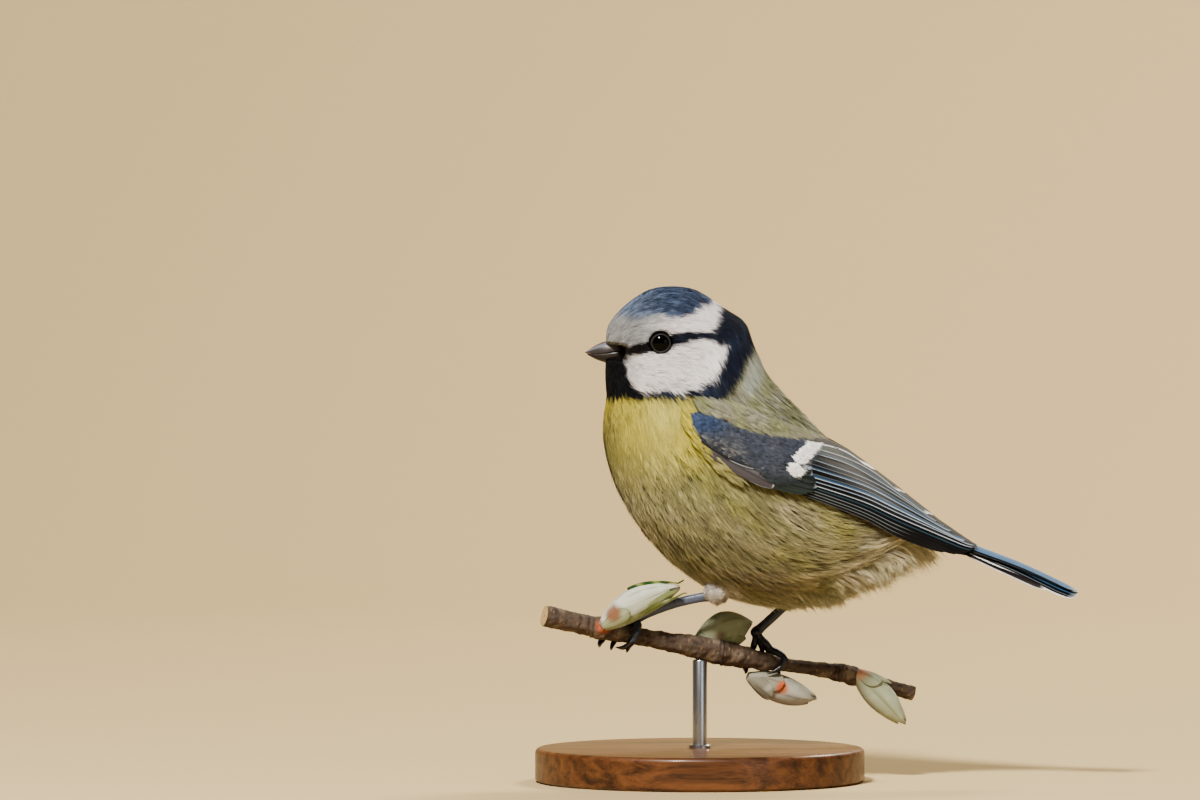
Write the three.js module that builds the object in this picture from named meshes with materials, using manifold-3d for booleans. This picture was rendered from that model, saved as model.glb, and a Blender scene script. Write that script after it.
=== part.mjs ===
// A life-size blue tit (Cyanistes caeruleus), as a still museum model, standing on a cut twig that a plain stand holds up.
// Millimetres, +Z up. The bird looks along -X and shows its left side to -Y. The origin is where the stand's rod meets
// the ground, in the middle of the base's underside. The outline runs out to the tips of the feathers.
import * as THREE from "three";
import { mergeVertices } from "three/addons/utils/BufferGeometryUtils.js";
import Module from "manifold-3d";

const wasm = await Module();
wasm.setup();

// ---------------------------------------------------------------- driving sizes, in mm
const GAP = 0.3; // clearance between neighbouring pieces
const CUT = 0.3; // width of the thin cuts that part the body
const SIDES = 24; // facets round the body
const RINGS = 40; // facets along the body

// The feathered body, as sections from the root of the bill to the root of the tail. Each has its top and its keel in
// the bird's middle plane, [x, z], its greatest half width, how high up that width sits, and how square it is.
const BODY = [
  { name: "bill_root", top: [-18.1, 90.9], keel: [-19.0, 86.8], half: 1.7, mid: 0.5, square: 2.0 },
  { name: "lores", top: [-19.3, 92.4], keel: [-19.4, 85.6], half: 2.5, mid: 0.5, square: 2.0 },
  { name: "forehead", top: [-18.4, 95.1], keel: [-19.5, 83.5], half: 3.5, mid: 0.48, square: 2.0 },
  { name: "brow", top: [-15.3, 98.5], keel: [-19.4, 81.6], half: 5.0, mid: 0.46, square: 2.0 },
  { name: "forecrown", top: [-10.7, 101.5], keel: [-19.3, 80.2], half: 6.6, mid: 0.46, square: 2.05 },
  { name: "crown", top: [-5.8, 102.3], keel: [-19.3, 79.0], half: 8.1, mid: 0.46, square: 2.1 },
  { name: "hindcrown", top: [-0.6, 101.4], keel: [-19.6, 77.3], half: 9.3, mid: 0.46, square: 2.15 },
  { name: "upper_nape", top: [4.5, 98.1], keel: [-19.9, 75.1], half: 10.4, mid: 0.47, square: 2.15 },
  { name: "nape", top: [9.3, 94.8], keel: [-20.0, 72.6], half: 11.7, mid: 0.49, square: 2.1 },
  { name: "hindneck", top: [11.3, 89.7], keel: [-19.8, 69.3], half: 13.4, mid: 0.5, square: 2.05 },
  { name: "shoulder", top: [14.8, 82.9], keel: [-17.9, 62.3], half: 16.2, mid: 0.5, square: 2.05 },
  { name: "mantle", top: [20.6, 76.7], keel: [-12.8, 53.0], half: 18.2, mid: 0.5, square: 2.1 },
  { name: "back", top: [25.8, 71.3], keel: [-5.2, 44.7], half: 18.7, mid: 0.48, square: 2.15 },
  { name: "lower_back", top: [30.5, 66.8], keel: [4.5, 38.6], half: 17.8, mid: 0.45, square: 2.15 },
  { name: "loin", top: [34.6, 62.9], keel: [15.5, 36.3], half: 15.6, mid: 0.44, square: 2.1 },
  { name: "rump", top: [38.8, 59.4], keel: [26.4, 37.9], half: 12.2, mid: 0.45, square: 2.05 },
  { name: "vent", top: [42.3, 56.5], keel: [33.4, 41.6], half: 8.8, mid: 0.48, square: 2.0 },
  { name: "tail_root", top: [45.4, 54.4], keel: [39.8, 46.6], half: 5.8, mid: 0.5, square: 2.0 },
  { name: "tail_coverts", top: [49.1, 51.8], keel: [45.8, 48.2], half: 3.2, mid: 0.5, square: 2.0 },
];
// Where the thin cuts fall, as places along those sections.
const HEAD_NECK_CUT = 8.55 / 18;
const NECK_TRUNK_CUT = 9.7 / 18;

// The left wing, folded, from the wrist to the tip: its upper and lower edges seen from the side, [x, z], the least
// distance of each from the middle plane, and the wing's thickness.
const WING = [
  { at: "wrist", upper: [-1.6, 74.9], lower: [-2.0, 71.4], out: [9.0, 9.0], thick: 0.9 },
  { at: "lesser_coverts", upper: [4.9, 75.0], lower: [3.6, 66.4], out: [9.0, 9.0], thick: 1.7 },
  { at: "median_coverts", upper: [12.6, 72.9], lower: [10.7, 62.3], out: [8.0, 12.0], thick: 2.0 },
  { at: "wing_bar", upper: [22.6, 71.6], lower: [20.6, 59.6], out: [4.6, 12.5], thick: 2.0 },
  { at: "tertials", upper: [30.6, 68.2], lower: [28.5, 56.3], out: [1.7, 12.0], thick: 1.8 },
  { at: "secondaries", upper: [40.0, 61.2], lower: [37.6, 52.2], out: [1.2, 9.2], thick: 1.5 },
  { at: "primaries", upper: [49.4, 53.8], lower: [47.6, 47.4], out: [1.0, 6.4], thick: 1.2 },
  { at: "tip", upper: [56.7, 48.9], lower: [56.3, 46.4], out: [0.9, 3.4], thick: 0.7 },
];

// The folded tail: its ridge from the root to the tip, its width, thickness, and the fall from the ridge to its sides.
const TAIL = { root: [42.5, 53.6], tip: [78.0, 39.5], rootHalf: 3.2, tipHalf: 5.2, thick: 1.5, fall: 2.0, notch: 1.6 };

const EYE = { x: -8.1, z: 90.8, ball: 2.6, sunk: 1.62 };
const BILL = { tip: [-23.7, 88.5], root: [-14.6, 88.4], culmen: 91.2, gonys: 86.4, half: 2.05, gape: 0.12 };

// The twig's middle line, [x, z] and radius, between its two clean cuts. It turns towards +Y as it runs to +X.
const TWIG = [
  [-32.0, 34.8, 2.15], [-24.7, 33.1, 2.1], [-20.6, 32.0, 2.25], [-15.5, 30.7, 1.8], [-9.9, 29.7, 1.75], [-4.0, 28.5, 2.15], [0.0, 27.6, 2.5],
  [4.6, 26.6, 2.7], [9.3, 25.5, 2.2], [15.5, 24.2, 1.5], [20.4, 23.4, 1.35], [26.4, 22.5, 1.6], [30.9, 21.5, 1.85], [37.1, 19.5, 1.4], [44.3, 17.4, 1.5],
];
const TWIG_TURN = 0.32; // y gained for each mm of x
// The buds: root and tip in side view, how far each end stands off the twig's middle line, radius, flattening, where
// each is fullest, and how much it arches.
const BUDS = [
  { name: "bud_front", root: [-20.3, 32.6], tip: [-4.1, 40.6], off: [-2.4, -7.4], radius: 3.1, flat: 0.8, full: 0.44, bow: 1.3 },
  { name: "bud_back", root: [-1.0, 28.3], tip: [10.9, 32.2], off: [1.2, 3.6], radius: 3.9, flat: 0.7, full: 0.5, bow: 0.6 },
  { name: "bud_low", root: [9.9, 21.6], tip: [24.3, 16.6], off: [0.6, 0.2], radius: 2.9, flat: 0.9, full: 0.5, bow: -0.4 },
  { name: "bud_right", root: [32.2, 22.2], tip: [42.8, 11.1], off: [-0.9, -1.8], radius: 2.9, flat: 0.85, full: 0.5, bow: 0.3 },
];

// Legs: ankle, the pad where the toes meet, and the line of the feathered thigh's lowest part, all [x, y, z]. The left
// one reaches forward, the right one stands back.
const LEGS = {
  left: { ankle: [3.2, -5.8, 38.8], pad: [-13.4, -4.6, 33.9], bow: 0.75, thigh: [[6.2, -7.8, 40.4], [2.6, -6.2, 39.3]] },
  right: { ankle: [21.6, 6.6, 40.0], pad: [11.6, 4.6, 30.6], bow: -0.2, thigh: [[22.0, 7.0, 39.4], [16.8, 5.5, 37.4]] },
};
const TARSUS_RADIUS = 0.95;
const TOE_RADIUS = 0.68;
const CLAW_RADIUS = 0.42;

const BASE = { radius: 34, height: 7, bevel: 1.2 };
const ROD_RADIUS = 1.5;

// ---------------------------------------------------------------- colours
const paint = (colour, roughness, metalness = 0) => new THREE.MeshStandardMaterial({ color: colour, roughness, metalness });
const PAINT = {
  head: paint(0xd9dadd, 0.8),
  neck: paint(0x8d8f72, 0.85),
  trunk: paint(0xa89c55, 0.85),
  thigh: paint(0xc9c6bb, 0.9),
  wing: paint(0x44536b, 0.6),
  tail: paint(0x54709a, 0.6),
  bill: paint(0x3b3c42, 0.35),
  eye: paint(0x0c0806, 0.05),
  leg: paint(0x4d5563, 0.5),
  bark: paint(0x6b5348, 0.85),
  bud: paint(0x9aa38a, 0.8),
  rod: paint(0x8f8f8f, 0.35, 1),
  base: paint(0x4a3426, 0.5),
};

// ---------------------------------------------------------------- helpers
// A geometry as a manifold solid with its faces out.
function solid(geometry) {
  const g = new THREE.BufferGeometry().copy(geometry);
  for (const name of Object.keys(g.attributes)) if (name !== "position") g.deleteAttribute(name);
  const merged = mergeVertices(g, 1e-4);
  const from = merged.index.array;
  const kept = [];
  for (let i = 0; i < from.length; i += 3)
    if (from[i] !== from[i + 1] && from[i + 1] !== from[i + 2] && from[i] !== from[i + 2]) kept.push(from[i], from[i + 1], from[i + 2]);
  const vertProperties = new Float32Array(merged.attributes.position.array);
  const make = (tris) => new wasm.Manifold(new wasm.Mesh({ numProp: 3, vertProperties, triVerts: new Uint32Array(tris) }));
  const made = make(kept);
  if (made.volume() > 0) return made;
  for (let i = 0; i < kept.length; i += 3) [kept[i + 1], kept[i + 2]] = [kept[i + 2], kept[i + 1]];
  return make(kept);
}

// A solid back as a named mesh. Only its largest body is kept, so that a cut leaves no crumbs.
function mesh(name, made, material) {
  const bodies = made.decompose().sort((a, b) => b.volume() - a.volume());
  const m = bodies[0].getMesh();
  const position = new Float32Array(m.numVert * 3);
  for (let i = 0; i < m.numVert; i++) position.set(m.vertProperties.subarray(i * m.numProp, i * m.numProp + 3), i * 3);
  const geometry = new THREE.BufferGeometry()
    .setAttribute("position", new THREE.BufferAttribute(position, 3))
    .setIndex(new THREE.BufferAttribute(new Uint32Array(m.triVerts), 1));
  geometry.computeVertexNormals();
  const out = new THREE.Mesh(geometry, material);
  out.name = name;
  return out;
}

// A closed skin over rings with equal numbers of points. Each end is closed by a strip between the ring's two halves,
// so that thin, bent sections close well too.
function loft(rings) {
  const n = rings[0].length, last = rings.length - 1;
  const position = new Float32Array(rings.length * n * 3);
  rings.forEach((ring, i) => ring.forEach((p, j) => p.toArray(position, (i * n + j) * 3)));
  const tris = [];
  for (let i = 0; i < last; i++)
    for (let j = 0; j < n; j++) {
      const a = i * n + j, b = i * n + ((j + 1) % n), c = a + n, d = b + n;
      tris.push(a, b, d, a, d, c);
    }
  for (let j = 0; j < n / 2 - 1; j++) {
    const a = j, b = j + 1, c = n - 2 - j, d = n - 1 - j, e = last * n;
    if (b !== c) tris.push(a, c, b, e + a, e + b, e + c);
    if (c !== d) tris.push(a, d, c, e + a, e + c, e + d);
  }
  const geometry = new THREE.BufferGeometry().setAttribute("position", new THREE.BufferAttribute(position, 3));
  geometry.setIndex(tris);
  return solid(geometry);
}
const mix = (a, b, t) => a + (b - a) * t;
const clamp = (v, lo, hi) => Math.min(hi, Math.max(lo, v));
const smooth = (a, b, v) => { const t = clamp((v - a) / (b - a), 0, 1); return t * t * (3 - 2 * t); };

// A smooth value between listed ones, at a place from 0 to 1.
function along(list, place) {
  const last = list.length - 1;
  const s = clamp(place, 0, 1) * last;
  const i = Math.min(last - 1, Math.floor(s));
  const f = s - i;
  const p0 = list[Math.max(0, i - 1)], p1 = list[i], p2 = list[i + 1], p3 = list[Math.min(last, i + 2)];
  return 0.5 * (2 * p1 + (p2 - p0) * f + (2 * p0 - 5 * p1 + 4 * p2 - p3) * f * f + (3 * p1 - p0 - 3 * p2 + p3) * f * f * f);
}
const column = (table, pick) => { const list = table.map(pick); return (place) => along(list, place); };

// A tube with round sections along points, each with its radius.
function tube(points, radii, sides, flat = 1, up = new THREE.Vector3(0, 0, 1)) {
  const sections = [];
  for (let i = 0; i < points.length; i++) {
    const before = points[Math.max(0, i - 1)], after = points[Math.min(points.length - 1, i + 1)];
    const way = after.clone().sub(before).normalize();
    const side = new THREE.Vector3().crossVectors(way, up).normalize();
    const over = new THREE.Vector3().crossVectors(side, way);
    const ring = [];
    for (let j = 0; j < sides; j++) {
      const a = (j / sides) * 2 * Math.PI;
      ring.push(points[i].clone().addScaledVector(side, radii[i] * Math.cos(a) * flat).addScaledVector(over, radii[i] * Math.sin(a)));
    }
    sections.push(ring);
  }
  return loft(sections);
}
const curvePoints = (list, n) => new THREE.CatmullRomCurve3(list, false, "centripetal").getPoints(n);
const joinAll = (list) => list.reduce((a, b) => a.add(b));

// ---------------------------------------------------------------- the body
const body = {
  tx: column(BODY, (s) => s.top[0]), tz: column(BODY, (s) => s.top[1]),
  kx: column(BODY, (s) => s.keel[0]), kz: column(BODY, (s) => s.keel[1]),
  half: column(BODY, (s) => s.half), mid: column(BODY, (s) => s.mid), square: column(BODY, (s) => s.square),
};
function section(place) {
  const top = [body.tx(place), body.tz(place)], keel = [body.kx(place), body.kz(place)], mid = body.mid(place);
  return { top, keel, half: body.half(place), square: body.square(place), centre: [mix(keel[0], top[0], mid), mix(keel[1], top[1], mid)] };
}
// A point on the body's surface: place along it, and angle from the top round the left side. Grown outwards by grow.
function bodyPoint(place, angle, grow = 0) {
  const s = section(place);
  const c = Math.cos(angle), n = Math.sin(angle), e = 2 / s.square;
  const cc = Math.sign(c) * Math.abs(c) ** e, nn = Math.sign(n) * Math.abs(n) ** e;
  const end = c >= 0 ? s.top : s.keel;
  const length = Math.hypot(end[0] - s.centre[0], end[1] - s.centre[1]);
  const k = (Math.abs(cc) * (length + grow)) / length;
  return new THREE.Vector3(s.centre[0] + (end[0] - s.centre[0]) * k, -nn * (s.half + grow), s.centre[1] + (end[1] - s.centre[1]) * k);
}
function bodySolid(from, to, grow = 0) {
  const sections = [];
  const count = Math.max(2, Math.round((to - from) * RINGS));
  for (let i = 0; i <= count; i++) {
    const place = mix(from, to, i / count);
    const ring = [];
    for (let j = 0; j < SIDES; j++) ring.push(bodyPoint(place, (j / SIDES) * 2 * Math.PI, grow));
    sections.push(ring);
  }
  return loft(sections);
}
// How far the body's side stands from the middle plane at x, z, or 0 beyond its outline.
function bodySide(x, z) {
  let lo = 0.02, hi = 1;
  const over = (place) => { const s = section(place); return (s.top[0] - s.keel[0]) * (z - s.keel[1]) - (s.top[1] - s.keel[1]) * (x - s.keel[0]); };
  for (let i = 0; i < 36; i++) { const m = (lo + hi) / 2; if (over(m) > 0) hi = m; else lo = m; }
  const s = section((lo + hi) / 2);
  const whole = Math.hypot(s.top[0] - s.keel[0], s.top[1] - s.keel[1]);
  const d = ((x - s.centre[0]) * (s.top[0] - s.keel[0]) + (z - s.centre[1]) * (s.top[1] - s.keel[1])) / whole;
  const end = d >= 0 ? s.top : s.keel;
  const n = Math.abs(d) / Math.hypot(end[0] - s.centre[0], end[1] - s.centre[1]);
  return n >= 1 ? 0 : s.half * (1 - n ** s.square) ** (1 / s.square);
}

const half = CUT / 2 / 45; // half a cut, as a share of the body's length
const headWhole = bodySolid(0, HEAD_NECK_CUT - half);
const neckWhole = bodySolid(HEAD_NECK_CUT + half, NECK_TRUNK_CUT - half);
const trunkWhole = bodySolid(NECK_TRUNK_CUT + half, 1);

// ---------------------------------------------------------------- bill and eyes
// One half of the bill: sections from the root to the tip, between its outer ridge and the line where the halves meet.
function billHalf(upper, grow = 0) {
  const sections = [];
  const n = 8;
  for (let i = 0; i <= n; i++) {
    const f = i / n; // 0 at the root, 1 at the tip
    const reach = upper ? BILL.tip[0] : BILL.tip[0] + 0.5;
    const x = mix(BILL.root[0], reach, f);
    const meet = mix(BILL.root[1], BILL.tip[1], f) + 0.25 * Math.sin(Math.PI * f);
    const taper = Math.pow(1 - f, 0.62);
    const ridge = upper ? mix(meet, BILL.culmen, taper * (1 - 0.06 * f)) : mix(meet, BILL.gonys, Math.pow(1 - f, 0.7));
    const w = BILL.half * Math.pow(1 - f, 0.72) + 0.1 + grow;
    const edge = meet + (upper ? 1 : -1) * (BILL.gape / 2 - grow);
    const top = ridge + (upper ? 1 : -1) * (0.12 + grow);
    const ring = [];
    const facets = 5;
    for (let j = 0; j <= facets; j++) {
      const a = (j / facets) * Math.PI;
      ring.push(new THREE.Vector3(x, w * Math.cos(a), edge + (top - edge) * Math.sin(a) ** 0.85));
    }
    sections.push(ring);
  }
  return loft(sections);
}
const billUpper = billHalf(true), billLower = billHalf(false);
// The room that the head leaves for both halves.
function billRoomSolid() {
  const rings = [];
  for (let i = 0; i <= 3; i++) {
    const f = (i / 3) * 0.75;
    const x = mix(BILL.root[0] + GAP, BILL.tip[0], f), w = BILL.half * Math.pow(1 - f, 0.72) + 0.1 + GAP;
    const meet = mix(BILL.root[1], BILL.tip[1], f) + 0.2;
    const above = (BILL.culmen - meet) * Math.pow(1 - f, 0.62) + 0.25 + GAP, below = (meet - BILL.gonys) * Math.pow(1 - f, 0.7) + 0.25 + GAP;
    const ring = [];
    for (let j = 0; j < 12; j++) {
      const a = (j / 12) * 2 * Math.PI;
      ring.push(new THREE.Vector3(x, w * Math.cos(a) * 1.05, meet + (Math.sin(a) > 0 ? above : below) * Math.sin(a)));
    }
    rings.push(ring);
  }
  return loft(rings);
}
const billRoom = billRoomSolid();

const eyeY = bodySide(EYE.x, EYE.z) - EYE.sunk;
const ballAt = (radius, side, around = 14) => solid(new THREE.SphereGeometry(radius, around, 8).rotateX(Math.PI / 2).translate(EYE.x, side * eyeY, EYE.z));

// ---------------------------------------------------------------- wings
const wing = {
  ux: column(WING, (s) => s.upper[0]), uz: column(WING, (s) => s.upper[1]),
  lx: column(WING, (s) => s.lower[0]), lz: column(WING, (s) => s.lower[1]),
  uo: column(WING, (s) => s.out[0]), lo: column(WING, (s) => s.out[1]), thick: column(WING, (s) => s.thick),
};
// The wing's inner face: u from wrist to tip, v from the upper edge to the lower one. Distances are from the middle plane.
function wingInner(u, v) {
  const x = mix(wing.ux(u), wing.lx(u), v), z = mix(wing.uz(u), wing.lz(u), v);
  const free = mix(wing.uo(u), wing.lo(u), Math.pow(v, 0.6));
  const side = bodySide(x, z);
  const k = 6; // a soft maximum of the two
  const y = Math.log(Math.exp(side / 1.2) + Math.exp(free / 1.2)) * 1.2 * (k / k);
  return new THREE.Vector3(x, -y, z);
}
function wingSolid(side) {
  const sections = [];
  const NU = 18, NV = 6;
  for (let i = 0; i <= NU; i++) {
    const u = i / NU;
    const inner = [], outer = [];
    for (let j = 0; j <= NV; j++) {
      const v = j / NV;
      const p = wingInner(u, v);
      const a = wingInner(Math.min(1, u + 0.01), v).sub(wingInner(Math.max(0, u - 0.01), v));
      const b = wingInner(u, Math.min(1, v + 0.02)).sub(wingInner(u, Math.max(0, v - 0.02)));
      const out = new THREE.Vector3().crossVectors(a, b).normalize();
      if (out.y > 0) out.negate();
      const edge = Math.max(0.28, Math.sin(Math.PI * clamp(v * 0.94 + 0.03, 0, 1)) ** 0.5);
      inner.push(p.clone().addScaledVector(out, -0.2));
      outer.push(p.clone().addScaledVector(out, GAP + Math.max(0.55, wing.thick(u) * edge)));
    }
    const ring = [...inner, ...outer.reverse()].map((p) => new THREE.Vector3(p.x, p.y * side, p.z));
    sections.push(ring);
  }
  return loft(sections);
}
const bodyRoom = bodySolid(NECK_TRUNK_CUT - 0.14, 1, GAP);
const middle = solid(new THREE.BoxGeometry(200, 2 * GAP, 200).translate(0, 0, 60));
const wingLeft = wingSolid(1).subtract(bodyRoom).subtract(middle);
const wingRight = wingSolid(-1).subtract(bodyRoom).subtract(middle);

// ---------------------------------------------------------------- tail
function tailSolid() {
  const sections = [];
  const n = 9, across = 6;
  for (let i = 0; i <= n; i++) {
    const f = i / n;
    const upper = [], under = [];
    for (let j = 0; j <= across; j++) {
      const s = (j / across) * 2 - 1; // -1 at the left edge, 1 at the right
      const w = mix(TAIL.rootHalf, TAIL.tipHalf, Math.pow(f, 0.7));
      const reach = f * (1 - (TAIL.notch / 38) * Math.exp(-((s / 0.35) ** 2)) * smooth(0.7, 1, f)) - smooth(0.9, 1, f) * 0.05 * Math.abs(s) ** 6;
      const x = mix(TAIL.root[0], TAIL.tip[0], reach);
      const ridge = mix(TAIL.root[1], TAIL.tip[1], reach) + 0.7 * Math.sin(Math.PI * reach) * 0.5;
      const drop = TAIL.fall * Math.abs(s) ** 1.7 * (1 - 0.35 * smooth(0.75, 1, f));
      const thick = TAIL.thick * (1 - 0.45 * Math.abs(s) ** 3) * (1 - 0.5 * smooth(0.7, 1, f));
      upper.push(new THREE.Vector3(x, s * w, ridge - drop));
      under.push(new THREE.Vector3(x - thick * 0.35, s * w * 0.96, ridge - drop - thick));
    }
    sections.push([...upper, ...under.reverse()]);
  }
  return loft(sections);
}
const wingRoom = wingLeft.add(wingRight);
const tailWhole = tailSolid();

// ---------------------------------------------------------------- twig and buds
const twigY = (x) => TWIG_TURN * x;
function twigAt(x) {
  const i = clamp(TWIG.findIndex((p) => p[0] > x), 1, TWIG.length - 1);
  const a = TWIG[i - 1], b = TWIG[i], f = clamp((x - a[0]) / (b[0] - a[0]), 0, 1);
  return { point: new THREE.Vector3(x, twigY(x), mix(a[1], b[1], f)), radius: mix(a[2], b[2], f), way: new THREE.Vector3(b[0] - a[0], twigY(b[0]) - twigY(a[0]), b[1] - a[1]).normalize() };
}
const twigLine = new THREE.CatmullRomCurve3(TWIG.map((p) => new THREE.Vector3(p[0], twigY(p[0]), p[1])), false, "centripetal").getPoints(25);
function twigSolid(grow = 0) {
  const radii = twigLine.map((p) => twigAt(p.x).radius * (1 + 0.035 * Math.sin(p.x * 1.9)) + grow);
  return tube(twigLine, radii, 10);
}
const twigWhole = twigSolid();

function budSolid(bud) {
  const root = new THREE.Vector3(bud.root[0], twigY(bud.root[0]) + bud.off[0], bud.root[1]);
  const tip = new THREE.Vector3(bud.tip[0], twigY(bud.tip[0]) + bud.off[1], bud.tip[1]);
  const way = tip.clone().sub(root);
  const points = [], radii = [];
  const n = 9;
  for (let i = 0; i <= n; i++) {
    const f = i / n;
    const g = Math.pow(f, Math.log(0.5) / Math.log(bud.full)); // the fullest place comes at the share called full
    points.push(root.clone().addScaledVector(way, f).add(new THREE.Vector3(0, 0, bud.bow * Math.sin(Math.PI * f))));
    radii.push(Math.max(0.12, bud.radius * Math.pow(Math.sin(Math.PI * clamp(g * 0.93 + 0.07, 0, 1)), 0.8)));
  }
  return tube(points, radii, 10, bud.flat);
}

// ---------------------------------------------------------------- legs and feet
const vec = (p) => new THREE.Vector3(...p);
function tarsus(leg, grow = 0) {
  const a = vec(leg.ankle), b = vec(leg.pad);
  const n = 6, points = [], radii = [];
  for (let i = 0; i <= n; i++) {
    const f = i / n;
    points.push(a.clone().lerp(b, f).add(new THREE.Vector3(0, 0, leg.bow * Math.sin(Math.PI * f))));
    radii.push(TARSUS_RADIUS * (1 + 0.3 * (1 - smooth(0, 0.2, f)) + 0.2 * smooth(0.85, 1, f)) + grow);
  }
  return tube(points, radii, 8, 0.75);
}
function thigh(leg, grow = 0) {
  const [a, b] = leg.thigh.map(vec);
  const points = [], radii = [];
  for (let i = 0; i <= 8; i++) {
    const f = i / 8;
    points.push(a.clone().lerp(b, f));
    radii.push(mix(2.5, 2.3, f) * Math.sqrt(Math.max(0.04, 1 - Math.abs(2 * f - 1) ** 3)) + grow);
  }
  return tube(points, radii, 12);
}
// A point at an angle round the twig, 0 on top and positive towards -Y, standing off its surface.
function roundTwig(x, angle, off) {
  const t = twigAt(x);
  const near = new THREE.Vector3(t.way.y, -t.way.x, 0).normalize();
  const top = new THREE.Vector3().crossVectors(near, t.way).normalize();
  if (top.z < 0) top.negate();
  return t.point.clone().addScaledVector(near, (t.radius + off) * Math.sin(angle)).addScaledVector(top, (t.radius + off) * Math.cos(angle));
}
// One toe from the pad round the twig, then its claw. Stations are [x, angle] in degrees.
function toe(pad, stations, clawStations, thick, grow = 0) {
  const off = TOE_RADIUS * thick + 0.42;
  const line = [vec(pad), ...stations.map(([x, a]) => roundTwig(x, (a * Math.PI) / 180, off))];
  const points = curvePoints(line, 6);
  const radii = points.map((_, i) => TOE_RADIUS * thick * (1 - 0.16 * (i / 6)) + grow);
  const clawLine = [points[points.length - 2], ...clawStations.map(([x, a, o]) => roundTwig(x, (a * Math.PI) / 180, o))];
  const clawPoints = curvePoints(clawLine, 4);
  const clawRadii = clawPoints.map((_, i) => mix(CLAW_RADIUS * thick, 0.14, (i / 4) ** 1.3) + grow);
  return tube(points, radii, 6, 1, new THREE.Vector3(1, 0, 0.05)).add(tube(clawPoints, clawRadii, 5, 1, new THREE.Vector3(1, 0, 0.05)));
}
const FEET = {
  left: [
    { name: "hind", thick: 1.12, stations: [[-13.6, 30], [-14.1, 75], [-14.5, 116]], claw: [[-14.9, 140, 0.9], [-15.6, 166, 1.1], [-16.6, 190, 1.2]] },
    { name: "inner", thick: 0.92, stations: [[-14.0, -30], [-15.4, -78], [-16.6, -128]], claw: [[-17.0, -152, 1.0], [-17.4, -174, 1.5], [-17.7, -192, 2.0]] },
    { name: "middle", thick: 1.0, stations: [[-14.6, -34], [-17.2, -85], [-19.2, -138]], claw: [[-19.6, -158, 0.95], [-19.9, -178, 1.3], [-20.2, -196, 1.7]] },
    { name: "outer", thick: 0.95, stations: [[-13.2, -40], [-13.0, -88], [-13.6, -136]], claw: [[-14.0, -156, 1.0], [-14.4, -176, 1.5], [-14.7, -190, 1.9]] },
  ],
  right: [
    { name: "hind", thick: 1.15, stations: [[14.2, 12], [16.4, 48], [16.8, 78]], claw: [[16.2, 104, 0.9], [15.1, 124, 1.3], [13.7, 141, 1.6]] },
    { name: "inner", thick: 0.92, stations: [[12.8, -26], [13.2, -76], [13.6, -126]], claw: [[13.7, -146, 0.7], [13.7, -162, 0.75], [13.6, -174, 0.8]] },
    { name: "middle", thick: 1.0, stations: [[11.2, -40], [10.6, -86], [10.4, -136]], claw: [[10.4, -156, 0.7], [10.2, -172, 0.9], [9.9, -184, 1.2]] },
    { name: "outer", thick: 0.95, stations: [[14.2, -30], [15.9, -80], [16.8, -128]], claw: [[17.0, -146, 0.7], [17.1, -162, 0.75], [17.1, -174, 0.8]] },
  ],
};
function foot(side, grow = 0) {
  const leg = LEGS[side];
  const pad = solid(new THREE.SphereGeometry(1.12 + grow, 10, 6).translate(...leg.pad));
  return joinAll([pad, ...FEET[side].map((t) => toe(leg.pad, t.stations, t.claw, t.thick, grow))]);
}

// ---------------------------------------------------------------- stand
const rodTop = twigAt(0).point.z;
const rodWhole = solid(new THREE.CylinderGeometry(ROD_RADIUS, ROD_RADIUS, rodTop - BASE.height - GAP, 20).rotateX(Math.PI / 2).translate(0, 0, (rodTop + BASE.height + GAP) / 2));
const baseOutline = [[0, 0], [BASE.radius - 0.6, 0], [BASE.radius, 0.6], [BASE.radius, BASE.height - BASE.bevel], [BASE.radius - 0.4, BASE.height - 0.4], [BASE.radius - BASE.bevel, BASE.height], [0, BASE.height]];
const baseWhole = solid(new THREE.LatheGeometry(baseOutline.map(([r, z]) => new THREE.Vector2(r, z)), 36).rotateX(Math.PI / 2));

// ---------------------------------------------------------------- parting the pieces from each other
const feet = { left: foot("left"), right: foot("right") };
const tarsi = { left: tarsus(LEGS.left), right: tarsus(LEGS.right) };
const thighs = { left: thigh(LEGS.left), right: thigh(LEGS.right) };
const tarsusRoom = { left: tarsus(LEGS.left, GAP), right: tarsus(LEGS.right, GAP) };
const thighRoom = thigh(LEGS.left, GAP).add(thigh(LEGS.right, GAP));
const padRoom = (side) => solid(new THREE.SphereGeometry(1.12 + GAP, 10, 6).translate(...LEGS[side].pad));
const bodyRoomWhole = bodySolid(0.5, 1, GAP);
const tailRoom = wingRoom; // the wings lie over the tail's root
const twigRoom = twigSolid(GAP);

const head = headWhole.subtract(billRoom).subtract(ballAt(EYE.ball + GAP, 1, 12)).subtract(ballAt(EYE.ball + GAP, -1, 12));
const tail = tailWhole.subtract(bodyRoomWhole);
const eyes = { left: ballAt(EYE.ball, -1), right: ballAt(EYE.ball, 1) };
const thighLeft = thighs.left.subtract(bodyRoomWhole).subtract(tarsusRoom.left);
const thighRight = thighs.right.subtract(bodyRoomWhole).subtract(tarsusRoom.right);
const footRoom = { left: foot("left", GAP), right: foot("right", GAP) };
const buds = BUDS.map((b) => budSolid(b).subtract(twigRoom));
buds[2] = buds[2].subtract(footRoom.right);
const trunk = trunkWhole.subtract(tarsusRoom.left).subtract(tarsusRoom.right);

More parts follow.
